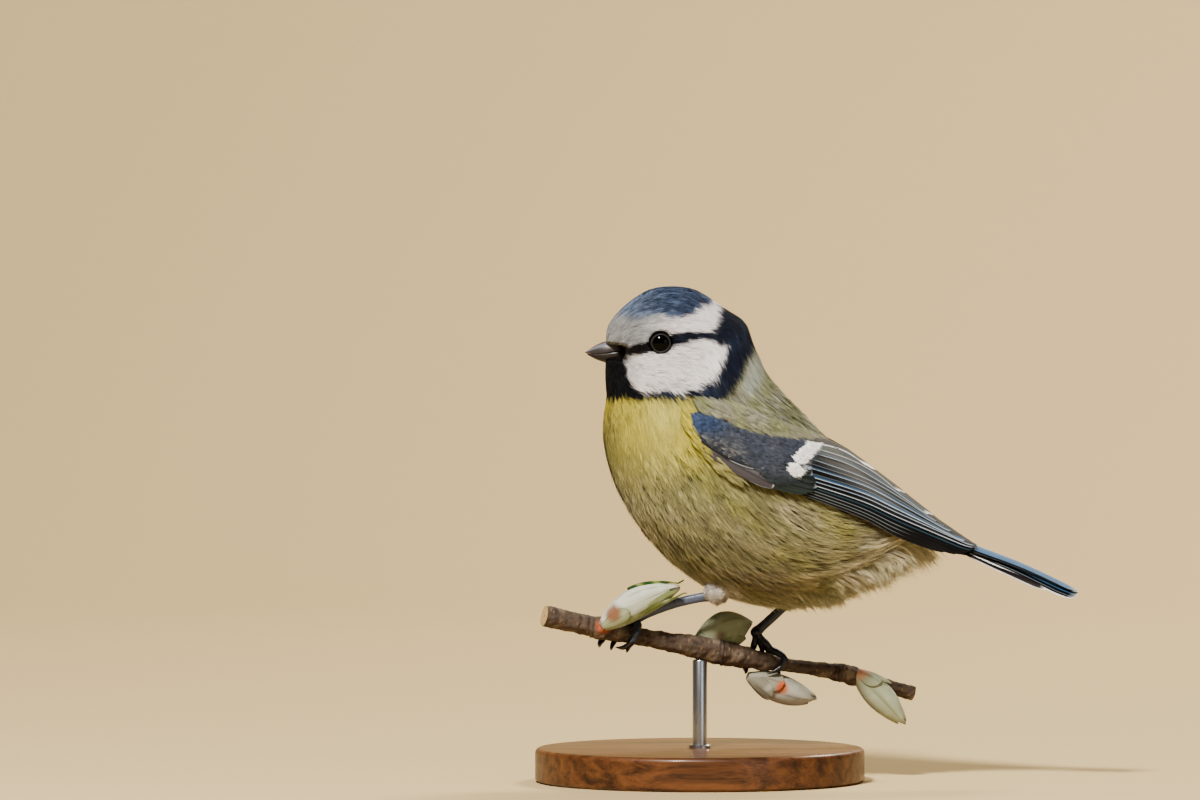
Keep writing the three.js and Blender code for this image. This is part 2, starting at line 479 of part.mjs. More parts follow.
const bird = new THREE.Group();
bird.name = "bird";
bird.add(
  mesh("head", head, PAINT.head),
  mesh("neck", neckWhole, PAINT.neck),
  mesh("trunk", trunk, PAINT.trunk),
  mesh("bill_upper", billUpper, PAINT.bill),
  mesh("bill_lower", billLower, PAINT.bill),
  mesh("eye_left", eyes.left, PAINT.eye),
  mesh("eye_right", eyes.right, PAINT.eye),
  mesh("wing_left", wingLeft, PAINT.wing),
  mesh("wing_right", wingRight, PAINT.wing),
  mesh("tail", tail.subtract(tailRoom), PAINT.tail),
);
for (const side of ["left", "right"]) {
  bird.add(
    mesh("thigh_" + side, side === "left" ? thighLeft : thighRight, PAINT.thigh),
    mesh("tarsus_" + side, tarsi[side].subtract(padRoom(side)), PAINT.leg),
    mesh("foot_" + side, feet[side].subtract(twigRoom), PAINT.leg),
  );
}
const perch = new THREE.Group();
perch.name = "perch";
perch.add(mesh("twig", twigWhole, PAINT.bark));
BUDS.forEach((b, i) => perch.add(mesh(b.name, buds[i], PAINT.bud)));

const stand = new THREE.Group();
stand.name = "stand";
stand.add(mesh("stand_base", baseWhole, PAINT.base), mesh("stand_rod", rodWhole.subtract(twigRoom), PAINT.rod));

const model = new THREE.Group();
model.add(bird, perch, stand);
export default model;
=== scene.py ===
# The looks of a life-size blue tit on a cut twig: skin, feathers, eyes, bill, feet, bark, buds, stand, floor and light.
# Lengths are worked out in millimetres in the model's own frame and written to Blender in metres.
import math

import numpy as np

import bpy
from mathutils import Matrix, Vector


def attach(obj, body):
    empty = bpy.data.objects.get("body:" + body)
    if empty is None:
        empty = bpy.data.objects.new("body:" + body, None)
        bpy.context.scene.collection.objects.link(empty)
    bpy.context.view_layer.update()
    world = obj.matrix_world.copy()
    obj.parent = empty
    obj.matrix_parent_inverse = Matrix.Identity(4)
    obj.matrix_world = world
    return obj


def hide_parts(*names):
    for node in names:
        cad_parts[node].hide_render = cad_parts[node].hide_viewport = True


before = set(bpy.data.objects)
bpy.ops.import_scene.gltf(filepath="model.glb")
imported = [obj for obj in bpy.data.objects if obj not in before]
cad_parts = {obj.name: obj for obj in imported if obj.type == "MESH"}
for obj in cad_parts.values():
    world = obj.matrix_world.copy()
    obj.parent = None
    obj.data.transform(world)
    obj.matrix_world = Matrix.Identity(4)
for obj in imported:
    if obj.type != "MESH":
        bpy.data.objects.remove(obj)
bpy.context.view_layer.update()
rng = np.random.default_rng(427)
MM = 0.001
DENSITY = 1.0  # how many tufts, against the full coat

# ------------------------------------------------------------------ body sections: top x, z, keel x, z, half width,
# height of the widest level, squareness, depth of the coat
BODY = np.array([
    [-18.1, 90.9, -19.0, 86.8, 1.7, 0.50, 2.00, 0.40],
    [-19.3, 92.4, -19.4, 85.6, 2.5, 0.50, 2.00, 0.50],
    [-18.4, 95.1, -19.5, 83.5, 3.5, 0.48, 2.00, 0.60],
    [-15.3, 98.5, -19.4, 81.6, 5.0, 0.46, 2.00, 0.65],
    [-10.7, 101.5, -19.3, 80.2, 6.6, 0.46, 2.05, 0.65],
    [-5.8, 102.3, -19.3, 79.0, 8.1, 0.46, 2.10, 0.70],
    [-0.6, 101.4, -19.6, 77.3, 9.3, 0.46, 2.15, 0.75],
    [4.5, 98.1, -19.9, 75.1, 10.4, 0.47, 2.15, 0.80],
    [9.3, 94.8, -20.0, 72.6, 11.7, 0.49, 2.10, 0.90],
    [11.3, 89.7, -19.8, 69.3, 13.4, 0.50, 2.05, 1.10],
    [14.8, 82.9, -17.9, 62.3, 16.2, 0.50, 2.05, 1.40],
    [20.6, 76.7, -12.8, 53.0, 18.2, 0.50, 2.10, 1.70],
    [25.8, 71.3, -5.2, 44.7, 18.7, 0.48, 2.15, 1.90],
    [30.5, 66.8, 4.5, 38.6, 17.8, 0.45, 2.15, 2.10],
    [34.6, 62.9, 15.5, 36.3, 15.6, 0.44, 2.10, 2.20],
    [38.8, 59.4, 26.4, 37.9, 12.2, 0.45, 2.05, 1.90],
    [42.3, 56.5, 33.4, 41.6, 8.8, 0.48, 2.00, 1.50],
    [45.4, 54.4, 39.8, 46.6, 5.8, 0.50, 2.00, 1.00],
    [49.1, 51.8, 45.8, 48.2, 3.2, 0.50, 2.00, 0.60],
])
NB = len(BODY) - 1


def spline(table, place):
    """Smooth values between listed rows, at places from 0 to 1."""
    last = len(table) - 1
    x = np.clip(place, 0, 1) * last
    i = np.minimum(last - 1, np.floor(x).astype(int))
    f = (x - i)[..., None] if table.ndim > 1 else x - i
    p0, p1, p2, p3 = table[np.maximum(0, i - 1)], table[i], table[i + 1], table[np.minimum(last, i + 2)]
    return 0.5 * (2 * p1 + (p2 - p0) * f + (2 * p0 - 5 * p1 + 4 * p2 - p3) * f * f + (3 * p1 - p0 - 3 * p2 + p3) * f**3)


def sstep(a, b, v):
    t = np.clip((v - a) / (b - a), 0, 1)
    return t * t * (3 - 2 * t)


def coat_depth(t, a):
    s = spline(BODY, t)[..., 7]
    return s * (0.8 + 0.45 * (1 - np.cos(a)) / 2 * sstep(0.5, 0.75, t))


def body_point(t, a, inset=0.0):
    """A point of the coat's outer surface: place along the body, angle from the top round the left side."""
    s = spline(BODY, np.clip(t, 0, 1))
    tx, tz, kx, kz, half, mid, sq = [s[..., i] for i in range(7)]
    cx, cz = kx + (tx - kx) * mid, kz + (tz - kz) * mid
    c, n, e = np.cos(a), np.sin(a), 2 / sq
    cc, nn = np.sign(c) * np.abs(c) ** e, np.sign(n) * np.abs(n) ** e
    ex, ez = np.where(c >= 0, tx, kx) - cx, np.where(c >= 0, tz, kz) - cz
    length = np.hypot(ex, ez)
    k = np.abs(cc) * np.maximum(length - inset, 0.3) / length
    return np.stack([cx + ex * k, -nn * np.maximum(half - inset, 0.3), cz + ez * k], -1)


def body_side(x, z):
    """How far the body's side stands from the middle plane, 0 outside its outline."""
    x, z = np.asarray(x, float), np.asarray(z, float)
    lo, hi = np.full(x.shape, 0.02), np.ones(x.shape)
    for _ in range(26):
        m = (lo + hi) / 2
        s = spline(BODY, m)
        over = (s[..., 0] - s[..., 2]) * (z - s[..., 3]) - (s[..., 1] - s[..., 3]) * (x - s[..., 2]) > 0
        hi, lo = np.where(over, m, hi), np.where(over, lo, m)
    s = spline(BODY, (lo + hi) / 2)
    tx, tz, kx, kz, half, mid, sq = [s[..., i] for i in range(7)]
    cx, cz = kx + (tx - kx) * mid, kz + (tz - kz) * mid
    d = ((x - cx) * (tx - kx) + (z - cz) * (tz - kz)) / np.hypot(tx - kx, tz - kz)
    end = np.where(d >= 0, np.hypot(tx - cx, tz - cz), np.hypot(kx - cx, kz - cz))
    n = np.clip(np.abs(d) / end, 0, 1)
    return half * np.maximum(0, 1 - n**sq) ** (1 / sq)


def unit(v):
    return v / np.maximum(1e-9, np.linalg.norm(v, axis=-1, keepdims=True))


def wobble(p, scale, seed=0.0):
    """Soft even noise, about -1 to 1, over points in millimetres."""
    x, y, z = p[..., 0] / scale + seed, p[..., 1] / scale + 1.7 * seed, p[..., 2] / scale - seed
    return (np.sin(1.9 * x + 1.3 * np.sin(1.1 * z + seed)) + np.sin(2.3 * z + 1.1 * np.sin(1.7 * y)) + np.sin(2.9 * y + 1.7 * x - 1.1 * z)) / 3


def streaks(t, a, across, along, seed=0.0):
    """Uneven noise, -1 to 1, drawn out along the lie of the coat; across and along are in millimetres of the trunk."""
    u, v = t * 118.0 / along + 3.1 * seed, a * 15.0 / across + 7.7 * seed
    iu, iv = np.floor(u), np.floor(v)
    fu, fv = sstep(0, 1, u - iu), sstep(0, 1, v - iv)

    def h(x, y):
        w = np.sin(x * 127.1 + y * 311.7 + seed * 74.7) * 43758.5453
        return 2 * (w - np.floor(w)) - 1

    return (h(iu, iv) * (1 - fu) + h(iu + 1, iv) * fu) * (1 - fv) + (h(iu, iv + 1) * (1 - fu) + h(iu + 1, iv + 1) * fu) * fv


def rgb(r, g, b):
    """A colour named on the usual 0 to 255 scale, as linear light."""
    c = np.array([r, g, b]) / 255
    return np.where(c <= 0.04045, c / 12.92, ((c + 0.055) / 1.055) ** 2.4)


# ------------------------------------------------------------------ meshes and materials
def make_mesh(name, verts, faces, colours=None, uv=None, smooth=True, extra=None):
    """verts in mm; faces is a list of arrays, each of triangles or quads; uv is per vertex."""
    verts = np.asarray(verts, np.float32).reshape(-1, 3)
    groups = [np.asarray(f, np.int32) for f in (faces if isinstance(faces, list) else [faces]) if len(f)]
    counts = np.concatenate([np.full(len(g), g.shape[1], np.int32) for g in groups])
    loops = np.concatenate([g.reshape(-1) for g in groups]).astype(np.int32)
    starts = np.concatenate([[0], np.cumsum(counts)[:-1]]).astype(np.int32)
    me = bpy.data.meshes.new(name)
    me.vertices.add(len(verts))
    me.vertices.foreach_set("co", (verts * MM).reshape(-1))
    me.loops.add(len(loops))
    me.loops.foreach_set("vertex_index", loops)
    me.polygons.add(len(counts))
    me.polygons.foreach_set("loop_start", starts)
    me.polygons.foreach_set("use_smooth", np.full(len(counts), smooth, bool))
    me.update(calc_edges=True)
    if colours is not None:
        col = np.ones((len(verts), 4), np.float32)
        col[:, :3] = np.clip(colours, 0, 1)
        me.attributes.new("col", "FLOAT_COLOR", "POINT").data.foreach_set("color", col.reshape(-1))
    for key, values in (extra or {}).items():
        me.attributes.new(key, "FLOAT", "POINT").data.foreach_set("value", np.asarray(values, np.float32))
    if uv is not None:
        layer = me.uv_layers.new(name="OFBake")
        layer.data.foreach_set("uv", np.asarray(uv, np.float32)[loops].reshape(-1))
    me.validate()
    o = bpy.data.objects.new(name, me)
    bpy.context.collection.objects.link(o)
    return o


def material(name, base=None, rough=0.7, sheen=0.0, spec=0.5, coat=0.0, attribute=True, bump=None, metallic=0.0, sss=0.0, ior=1.5):
    """A plain surface; its colour comes from the mesh's own colour layer unless base is given. bump is a list of
    (scale per metre, strength, distance in m)."""
    m = bpy.data.materials.new(name)
    m.use_nodes = True
    nt = m.node_tree
    b = nt.nodes["Principled BSDF"]
    b.inputs["Roughness"].default_value = rough
    b.inputs["Metallic"].default_value = metallic
    b.inputs["Specular IOR Level"].default_value = spec
    b.inputs["IOR"].default_value = ior
    b.inputs["Sheen Weight"].default_value = sheen
    b.inputs["Sheen Roughness"].default_value = 0.5
    b.inputs["Coat Weight"].default_value = coat
    b.inputs["Coat Roughness"].default_value = 0.06
    b.inputs["Subsurface Weight"].default_value = sss
    b.inputs["Subsurface Scale"].default_value = 0.001
    if base is not None:
        b.inputs["Base Color"].default_value = (*base, 1)
        m.diffuse_color = (*base, 1)
    if attribute:
        a = nt.nodes.new("ShaderNodeAttribute")
        a.attribute_name = "col"
        nt.links.new(a.outputs["Color"], b.inputs["Base Color"])
    last = None
    for scale, strength, distance in bump or []:
        n = nt.nodes.new("ShaderNodeTexNoise")
        n.inputs["Scale"].default_value = scale
        n.inputs["Detail"].default_value = 4
        c = nt.nodes.new("ShaderNodeTexCoord")
        nt.links.new(c.outputs["Object"], n.inputs["Vector"])
        bp = nt.nodes.new("ShaderNodeBump")
        bp.inputs["Strength"].default_value = strength
        bp.inputs["Distance"].default_value = distance
        nt.links.new(n.outputs["Fac"], bp.inputs["Height"])
        if last is not None:
            nt.links.new(last.outputs["Normal"], bp.inputs["Normal"])
        last = bp
    if last is not None:
        nt.links.new(last.outputs["Normal"], b.inputs["Normal"])
    return m


def finish_piece(o, mat, slot, *replaced):
    o.data.materials.append(mat)
    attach(o, "root")
    if replaced:
        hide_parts(*replaced)
    return o


MAT = {
    "coat": material("feather_coat", rough=0.68, sheen=0.04, spec=0.18),
    "skin": material("skin_under_feathers", rough=0.9, spec=0.1),
    "vane": material("flight_vane", rough=0.42, sheen=0.1, spec=0.45),
}

# ------------------------------------------------------------------ markings
# The markings are drawn on the side view, in chart points: 4.85 to the millimetre, x from 700, z down from 782.
CHART = 4.85


def chart(p):
    return 700 + p[..., 0] * CHART, 782 - p[..., 2] * CHART


def inside(px, py, shape, soft):
    """1 inside an outline, 0 outside, softly over a few chart points."""
    shape = np.asarray(shape, float)
    a, b = shape, np.roll(shape, -1, 0)
    best, odd = np.full(px.shape, 1e9), np.zeros(px.shape, bool)
    for (x0, y0), (x1, y1) in zip(a, b):
        dx, dy = x1 - x0, y1 - y0
        t = np.clip(((px - x0) * dx + (py - y0) * dy) / max(1e-9, dx * dx + dy * dy), 0, 1)
        best = np.minimum(best, (px - x0 - t * dx) ** 2 + (py - y0 - t * dy) ** 2)
        cross = (y0 > py) != (y1 > py)
        odd ^= cross & (px < dx * (py - y0) / (dy if abs(dy) > 1e-9 else 1e-9) + x0)
    d = np.sqrt(best) * np.where(odd, 1, -1)
    return sstep(-soft, soft, d)


CROWN_EDGE = np.array([(560, 300), (606, 308), (614, 314), (624, 317), (636, 317.5), (646, 316), (656, 313.5), (667, 315), (675, 317), (686, 313), (697, 306), (710, 299.5), (716, 290), (760, 270)])
STRIPE = np.array([(606, 350.5), (612, 350), (626, 350), (640, 346.5), (650, 343.5), (660, 341), (674, 336.5), (687, 334.3), (704, 333.5), (713, 333.5), (724, 336)])
STRIPE_HALF = np.array([(600, 4.0), (612, 4.8), (626, 5.4), (640, 5.0), (650, 5.0), (660, 6.0), (674, 6.0), (687, 5.2), (704, 3.8), (716, 6.0)])
CHEEK = [(627, 356), (635, 351.5), (648.4, 351), (664.5, 351), (673.8, 345), (687.2, 338.5), (704.6, 335.5), (718, 336.5), (728.7, 343), (724.7, 354), (714, 370.4), (700.6, 382.5), (690, 387.5), (680.5, 390), (660.4, 389.2), (643, 391.5), (636.3, 388), (627, 377), (624.3, 363.7)]
COLLAR = [(640, 391), (660, 388.5), (680, 389.5), (694, 386), (702, 380.5), (715, 369), (725, 353), (729, 343), (718, 336.5), (711, 331), (713, 322), (719, 312), (720, 303), (716, 285), (745, 285), (762, 322), (754, 343), (745, 358), (738, 377), (728, 388), (718, 396), (706, 396.5), (694, 392.5), (680, 394.5), (660, 395), (640, 396)]
BIB = [(590, 358), (609, 361), (617, 357), (625, 357), (624.5, 364), (627, 377), (636, 388), (643, 391), (650, 391), (650, 395), (640, 395.5), (622, 396), (605, 397), (590, 397)]
NAPE = [(754, 345), (766, 352), (762, 372), (752, 387), (742, 389), (739, 379), (746, 360)]
MANTLE = [(704, 398), (716, 399), (734, 384), (748, 372), (790, 372), (960, 500), (960, 560), (900, 520), (820, 450), (757, 436), (722, 424), (697, 416), (690, 408)]
HEAD = [(560, 250), (585, 397), (605, 397.5), (622, 396.5), (640, 396), (660, 395.5), (680, 395), (694, 394), (706, 397), (718, 396), (728, 388), (738, 377), (745, 358), (754, 343), (762, 322), (790, 250)]
EYE_RING = (660.6, 341.4)

C = {
    "crown": rgb(52, 64, 90), "crown_light": rgb(112, 130, 160), "crown_front": rgb(116, 130, 154), "white": rgb(238, 233, 234), "grey_white": rgb(162, 163, 166),
    "navy": rgb(22, 28, 46), "navy_light": rgb(40, 50, 76), "black": rgb(15, 15, 20), "lores": rgb(27, 22, 21), "nape": rgb(168, 174, 166),
    "mantle": rgb(136, 138, 104), "mantle_grey": rgb(144, 142, 124), "yellow": rgb(190, 178, 74), "yellow_pale": rgb(198, 192, 124),
    "flank": rgb(144, 140, 96), "olive": rgb(142, 140, 58), "flank_dark": rgb(84, 78, 50), "buff": rgb(194, 184, 150), "belly": rgb(186, 182, 158), "brown": rgb(134, 124, 102), "streak": rgb(46, 46, 50),
    "vent": rgb(198, 190, 164), "thigh": rgb(214, 208, 200), "rump": rgb(140, 144, 96),
}
PATCHES = [
    # place on the side view, half size, turn, colour, weight
    (741, 505, 26, 11, 0.75, "olive", 0.55), (838, 528, 30, 11, 0.8, "olive", 0.7), (790, 507, 24, 12, 0.45, "buff", 0.85), (786, 548, 30, 10, 0.7, "olive", 0.45),
    # painted shade: the flank_dark patch at 852, 509 sits just under the wing's lower edge, where the wing's shadow
    # falls
    (752, 578, 44, 16, 0.2, "brown", 0.7), (846, 576, 26, 20, 0.3, "vent", 0.9), (852, 509, 30, 8, 0.5, "flank_dark", 0.75), (700, 470, 40, 13, 0.8, "olive", 0.35),
    (728, 545, 22, 8, 0.8, "flank_dark", 0.45), (812, 562, 16, 7, 0.9, "flank_dark", 0.5), (880, 548, 40, 14, 0.4, "vent", 0.55), (690, 440, 22, 16, 0.9, "yellow", 0.4),
]


def blend(base, over, w):
    return base + (over - base) * w[..., None]


def body_colour(p, ragged=1.0):
    """The coat's colour at points on the body, in linear light."""
    px, py = chart(p)
    px = px + ragged * 1.6 * wobble(p, 0.9, 3.1)
    py = py + ragged * 1.6 * wobble(p, 0.8, 7.7)
    side = np.abs(p[..., 1])
    w1, w2, w3 = wobble(p, 2.2, 0.3), wobble(p, 5.5, 5.0), wobble(p, 0.7, 9.0)
    c = np.broadcast_to(C["flank"], p.shape).copy()
    # breast, brightest just under the collar, then duller olive and buff down the flank
    c = blend(c, C["yellow"], sstep(500, 400, py) * sstep(760, 690, px) * 0.9)
    c = blend(c, C["yellow_pale"], sstep(0.1, 0.9, w2) * sstep(520, 420, py) * 0.35)
    c = blend(c, C["flank_dark"], sstep(0.1, 0.9, w2 + 0.5 * w1) * sstep(430, 520, py) * 0.45)
    c = blend(c, C["buff"], sstep(0.1, 0.9, -w2 + 0.4 * w1) * sstep(440, 560, py) * 0.45)
    for qx, qy, qa, qb, turn, name, weight in PATCHES:
        dx, dy = px - qx + 7 * w2, py - qy + 6 * w1
        along, aside = dx * math.cos(turn) + dy * math.sin(turn), dy * math.cos(turn) - dx * math.sin(turn)
        c = blend(c, C[name], sstep(1.25, 0.35, np.hypot(along / qa, aside / qb)) * weight)
    c = blend(c, C["brown"], sstep(440, 540, py) * (0.30 + 0.25 * sstep(-0.2, 0.8, w1)))
    # the middle of the belly is pale, with a dark streak along the keel
    front = np.clip(1 - side / 11.0, 0, 1)
    c = blend(c, C["belly"], sstep(0.0, 0.7, front) * sstep(450, 520, py) * 0.8)
    # painted shade: the breast's front edge below the collar is darkened towards the flank colour at 0.8
    c = blend(c, C["flank"] * 0.8, sstep(632, 604, px) * sstep(395, 430, py) * 0.6)
    c = blend(c, C["streak"], sstep(3.6, 1.6, side + 0.6 * w1) * sstep(415, 450, py) * sstep(575, 535, py) * sstep(700, 670, px) * 0.92)
    c = blend(c, C["vent"], sstep(845, 880, px) * sstep(530, 560, py) * 0.6)
    c = blend(c, C["thigh"], inside(px, py, [(700, 581), (733, 584), (735, 604), (704, 604)], 5) * 0.8 * sstep(2, 4, side))
    # back
    mantle = inside(px, py, MANTLE, 3.5)
    back = blend(np.broadcast_to(C["mantle"], p.shape), C["mantle_grey"], sstep(-0.5, 0.6, w1))
    back = blend(back, C["rump"], sstep(860, 930, px))
    c = blend(c, back, mantle)
    # head
    head = inside(px, py, HEAD, 2.0)
    line_y = np.interp(px, STRIPE[:, 0], STRIPE[:, 1])
    hc = np.broadcast_to(C["grey_white"], p.shape)
    hc = blend(hc, C["white"], sstep(646, 682, px) * 0.97)
    hc = blend(hc, C["white"], sstep(1.0, 0.3, np.hypot((px - 655) / 16, (py - 325) / 8)) * 0.45)
    soft = np.interp(px, [600, 640, 665, 690], [8.0, 5.0, 2.2, 2.2])
    crown = sstep(soft, -soft, py - np.interp(px, CROWN_EDGE[:, 0], CROWN_EDGE[:, 1]))
    cc = blend(np.broadcast_to(C["crown"], p.shape), C["crown_light"], sstep(0.0, 0.8, 0.5 * w3 + 0.7 * w1) * 0.35)
    cc = blend(cc, C["crown_front"], sstep(672, 616, px) * 0.85)
    hc = blend(hc, cc, crown)
    cn = blend(np.broadcast_to(C["navy"], p.shape), C["navy_light"], sstep(0.0, 0.9, w1) * 0.6)
    below = blend(cn, C["black"], sstep(668, 630, px))
    hc = blend(hc, below, sstep(-1.2, 1.2, py - line_y))
    hc = blend(hc, C["white"], inside(px, py, CHEEK, 1.8))
    hc = blend(hc, C["grey_white"], inside(px, py, CHEEK, 2.2) * np.clip(sstep(0.2, 0.9, w2) * 0.2 + sstep(644, 626, px) * 0.5, 0, 1))
    stripe_half = np.interp(px, STRIPE_HALF[:, 0], STRIPE_HALF[:, 1])
    stripe = sstep(1.4, -1.4, np.abs(py - line_y) - stripe_half) * sstep(730, 722, px)
    line = blend(np.broadcast_to(C["navy"], p.shape) * 0.8, C["lores"], sstep(664, 650, px))
    hc = blend(hc, line, stripe)
    hc = blend(hc, cn, inside(px, py, COLLAR, 2.2) * sstep(640, 665, px))
    c = blend(c, hc, head)
    c = blend(c, C["nape"], inside(px, py, NAPE, 4.5) * 0.85)
    ring = np.hypot(px - EYE_RING[0], py - EYE_RING[1])
    c = blend(c, C["black"] * 1.3, sstep(9.3, 8.5, ring))
    return c * (1 + 0.05 * w3[..., None])


# ------------------------------------------------------------------ skin: one piece under the coat of head, neck, trunk and thighs
def tube_mesh(points, radii, sides, flat=1.0, up=(0, 0, 1), flats=None):
    """Rings along a line. Gives verts, quads and end triangles, and the ring place and angle of each vertex."""
    points, radii = np.asarray(points, float), np.asarray(radii, float)
    way = unit(np.gradient(points, axis=0))
    side = unit(np.cross(way, np.asarray(up, float)))
    over = np.cross(side, way)
    n = len(points)
    a = np.arange(sides) / sides * 2 * np.pi
    fl = np.full(n, flat) if flats is None else np.asarray(flats)
    v = points[:, None] + side[:, None] * (radii[:, None] * fl[:, None] * np.cos(a))[..., None] + over[:, None] * (radii[:, None] * np.sin(a))[..., None]
    v = np.concatenate([v.reshape(-1, 3), points[:1], points[-1:]])
    i, j = np.meshgrid(np.arange(n - 1), np.arange(sides), indexing="ij")
    i, j, k = i.reshape(-1), j.reshape(-1), (j.reshape(-1) + 1) % sides
    quads = np.stack([i * sides + j, (i + 1) * sides + j, (i + 1) * sides + k, i * sides + k], 1)
    j = np.arange(sides)
    k = (j + 1) % sides
    caps = np.concatenate([np.stack([np.full(sides, n * sides), j, k], 1), np.stack([np.full(sides, n * sides + 1), (n - 1) * sides + k, (n - 1) * sides + j], 1)])
    place = np.concatenate([np.repeat(np.linspace(0, 1, n), sides), [0, 1]])
    angle = np.concatenate([np.tile(a, n), [0, 0]])
    return v, quads, caps, place, angle


def join(parts):
    """Joins (verts, [faces...]) pieces into one."""
    verts, quads, tris, base = [], [], [], 0
    for v, fs in parts:
        verts.append(v)
        for f in fs:
            (quads if f.shape[1] == 4 else tris).append(f + base)
        base += len(v)
    out = []
    if quads:
        out.append(np.concatenate(quads))
    if tris:
        out.append(np.concatenate(tris))
    return np.concatenate(verts), out


THIGHS = {"left": ((6.2, -7.8, 40.4), (2.6, -6.2, 39.3)), "right": ((22.0, 7.0, 39.4), (16.8, 5.5, 37.4))}
EYE = {"x": -8.1, "z": 90.8, "ball": 2.6, "sunk": 1.62}
EYE_Y = float(body_side(np.array([EYE["x"]]), np.array([EYE["z"]]))[0]) - EYE["sunk"]


def eye_hollow(p):
    """Draws the skin and coat back round each eye."""
    d = np.hypot(p[..., 0] - EYE["x"], p[..., 2] - EYE["z"])
    return d, sstep(3.0, 2.0, d) * (np.abs(p[..., 1]) > 4)


def bill_room(p, skin=False):
    """Draws the face in beside the bill, so that the bill's base shows."""
    x, y, z = p[..., 0], p[..., 1], p[..., 2]
    w = sstep(-14.6, -16.2, x) * sstep(2.25, 1.5, np.abs(z - 88.65 + 0.10 * (x + 18)))
    most = np.interp(x, [-20, -18.5, -17, -15.5], [1.2, 1.5, 1.6, 1.9]) - (0.35 if skin else 0.0)
    p[..., 1] = np.where(np.abs(y) > most, y + (np.sign(y) * most - y) * w, y)
    return p


def skin():
    nt, na = 260, 160
    t = np.linspace(0, 1, nt)[:, None] * np.ones(na)
    a = (np.arange(na) / na * 2 * np.pi)[None, :] * np.ones((nt, 1))
    p = body_point(t, a, coat_depth(t, a))
    d, hollow = eye_hollow(p)
    p[..., 1] -= np.sign(p[..., 1]) * hollow * 1.2
    p = bill_room(p, True)
    v = np.concatenate([p.reshape(-1, 3), p[0].mean(0)[None], p[-1].mean(0)[None]])
    i, j = np.meshgrid(np.arange(nt - 1), np.arange(na), indexing="ij")
    i, j = i.reshape(-1), j.reshape(-1)
    k = (j + 1) % na
    quads = np.stack([i * na + j, i * na + k, (i + 1) * na + k, (i + 1) * na + j], 1)
    jj = np.arange(na)
    kk = (jj + 1) % na
    caps = np.concatenate([np.stack([np.full(na, nt * na), kk, jj], 1), np.stack([np.full(na, nt * na + 1), (nt - 1) * na + jj, (nt - 1) * na + kk], 1)])
    parts = [(v, [quads, caps])]
    for a0, b0 in THIGHS.values():
        line = np.linspace(0, 1, 14)[:, None] * (np.array(b0) - np.array(a0)) + np.array(a0)
        f = np.linspace(0, 1, 14)
        tv, tq, tc, _, _ = tube_mesh(line, (2.0 - 0.2 * f) * np.sqrt(np.maximum(0.03, 1 - np.abs(2 * f - 1) ** 3)), 18)
        parts.append((tv, [tq, tc]))
    verts, faces = join(parts)
    col = body_colour(verts) * 0.55
    return make_mesh("skin", verts, faces, col)


finish_piece(skin(), MAT["skin"], "body_plumage", "head", "neck", "trunk", "thigh_left", "thigh_right")


# ------------------------------------------------------------------ coat
def strands(roots, path, lateral, width, taper, stations):
    """Thin blades. path(l) gives the points of every blade at place l from root to tip; lateral is its sideways
    direction and width its full width in mm. Gives verts (blade, 2 * stations + 1), triangles and the places."""
    n = len(roots)
    ls = np.linspace(0, 1, stations + 1)
    cols = []
    for s, l in enumerate(ls[:-1]):
        p = path(l)
        w = (width * (taper[s] / 2))[:, None] * lateral
        cols += [p - w, p + w]
    cols.append(path(1.0))
    v = np.stack(cols, 1)
    m = 2 * stations + 1
    f = []
    for s in range(stations - 1):
        a = 2 * s
        f += [(a, a + 1, a + 3), (a, a + 3, a + 2)]
    a = 2 * (stations - 1)
    f.append((a, a + 1, a + 2))
    f = np.array(f)
    faces = (np.arange(n)[:, None, None] * m + f[None]).reshape(-1, 3)
    places = np.concatenate([np.repeat(ls[:-1], 2), [1.0]])
    return v, faces, places


def roots_on_body(count, weight, t0=0.0, t1=1.0, a0=0.0, a1=2 * np.pi):
    nt, na = 220, 200
    tt = t0 + (np.arange(nt) + 0.5) / nt * (t1 - t0)
    aa = a0 + (np.arange(na) + 0.5) / na * (a1 - a0)
    t, a = np.meshgrid(tt, aa, indexing="ij")
    e = 1e-3
    pt = (body_point(np.clip(t + e, 0, 1), a) - body_point(np.clip(t - e, 0, 1), a)) / (2 * e)
    pa = (body_point(t, a + e) - body_point(t, a - e)) / (2 * e)
    area = np.linalg.norm(np.cross(pt, pa), axis=-1) * (t1 - t0) / nt * (a1 - a0) / na
    w = area * weight(t, a, body_point(t, a))
    total = w.sum()
    n = int(count(total)) if callable(count) else int(count)
    pick = rng.choice(w.size, n, p=(w / total).reshape(-1))
    i, j = pick // na, pick % na
    return tt[i] + (rng.random(n) - 0.5) / nt * (t1 - t0), aa[j] + (rng.random(n) - 0.5) / na * (a1 - a0)


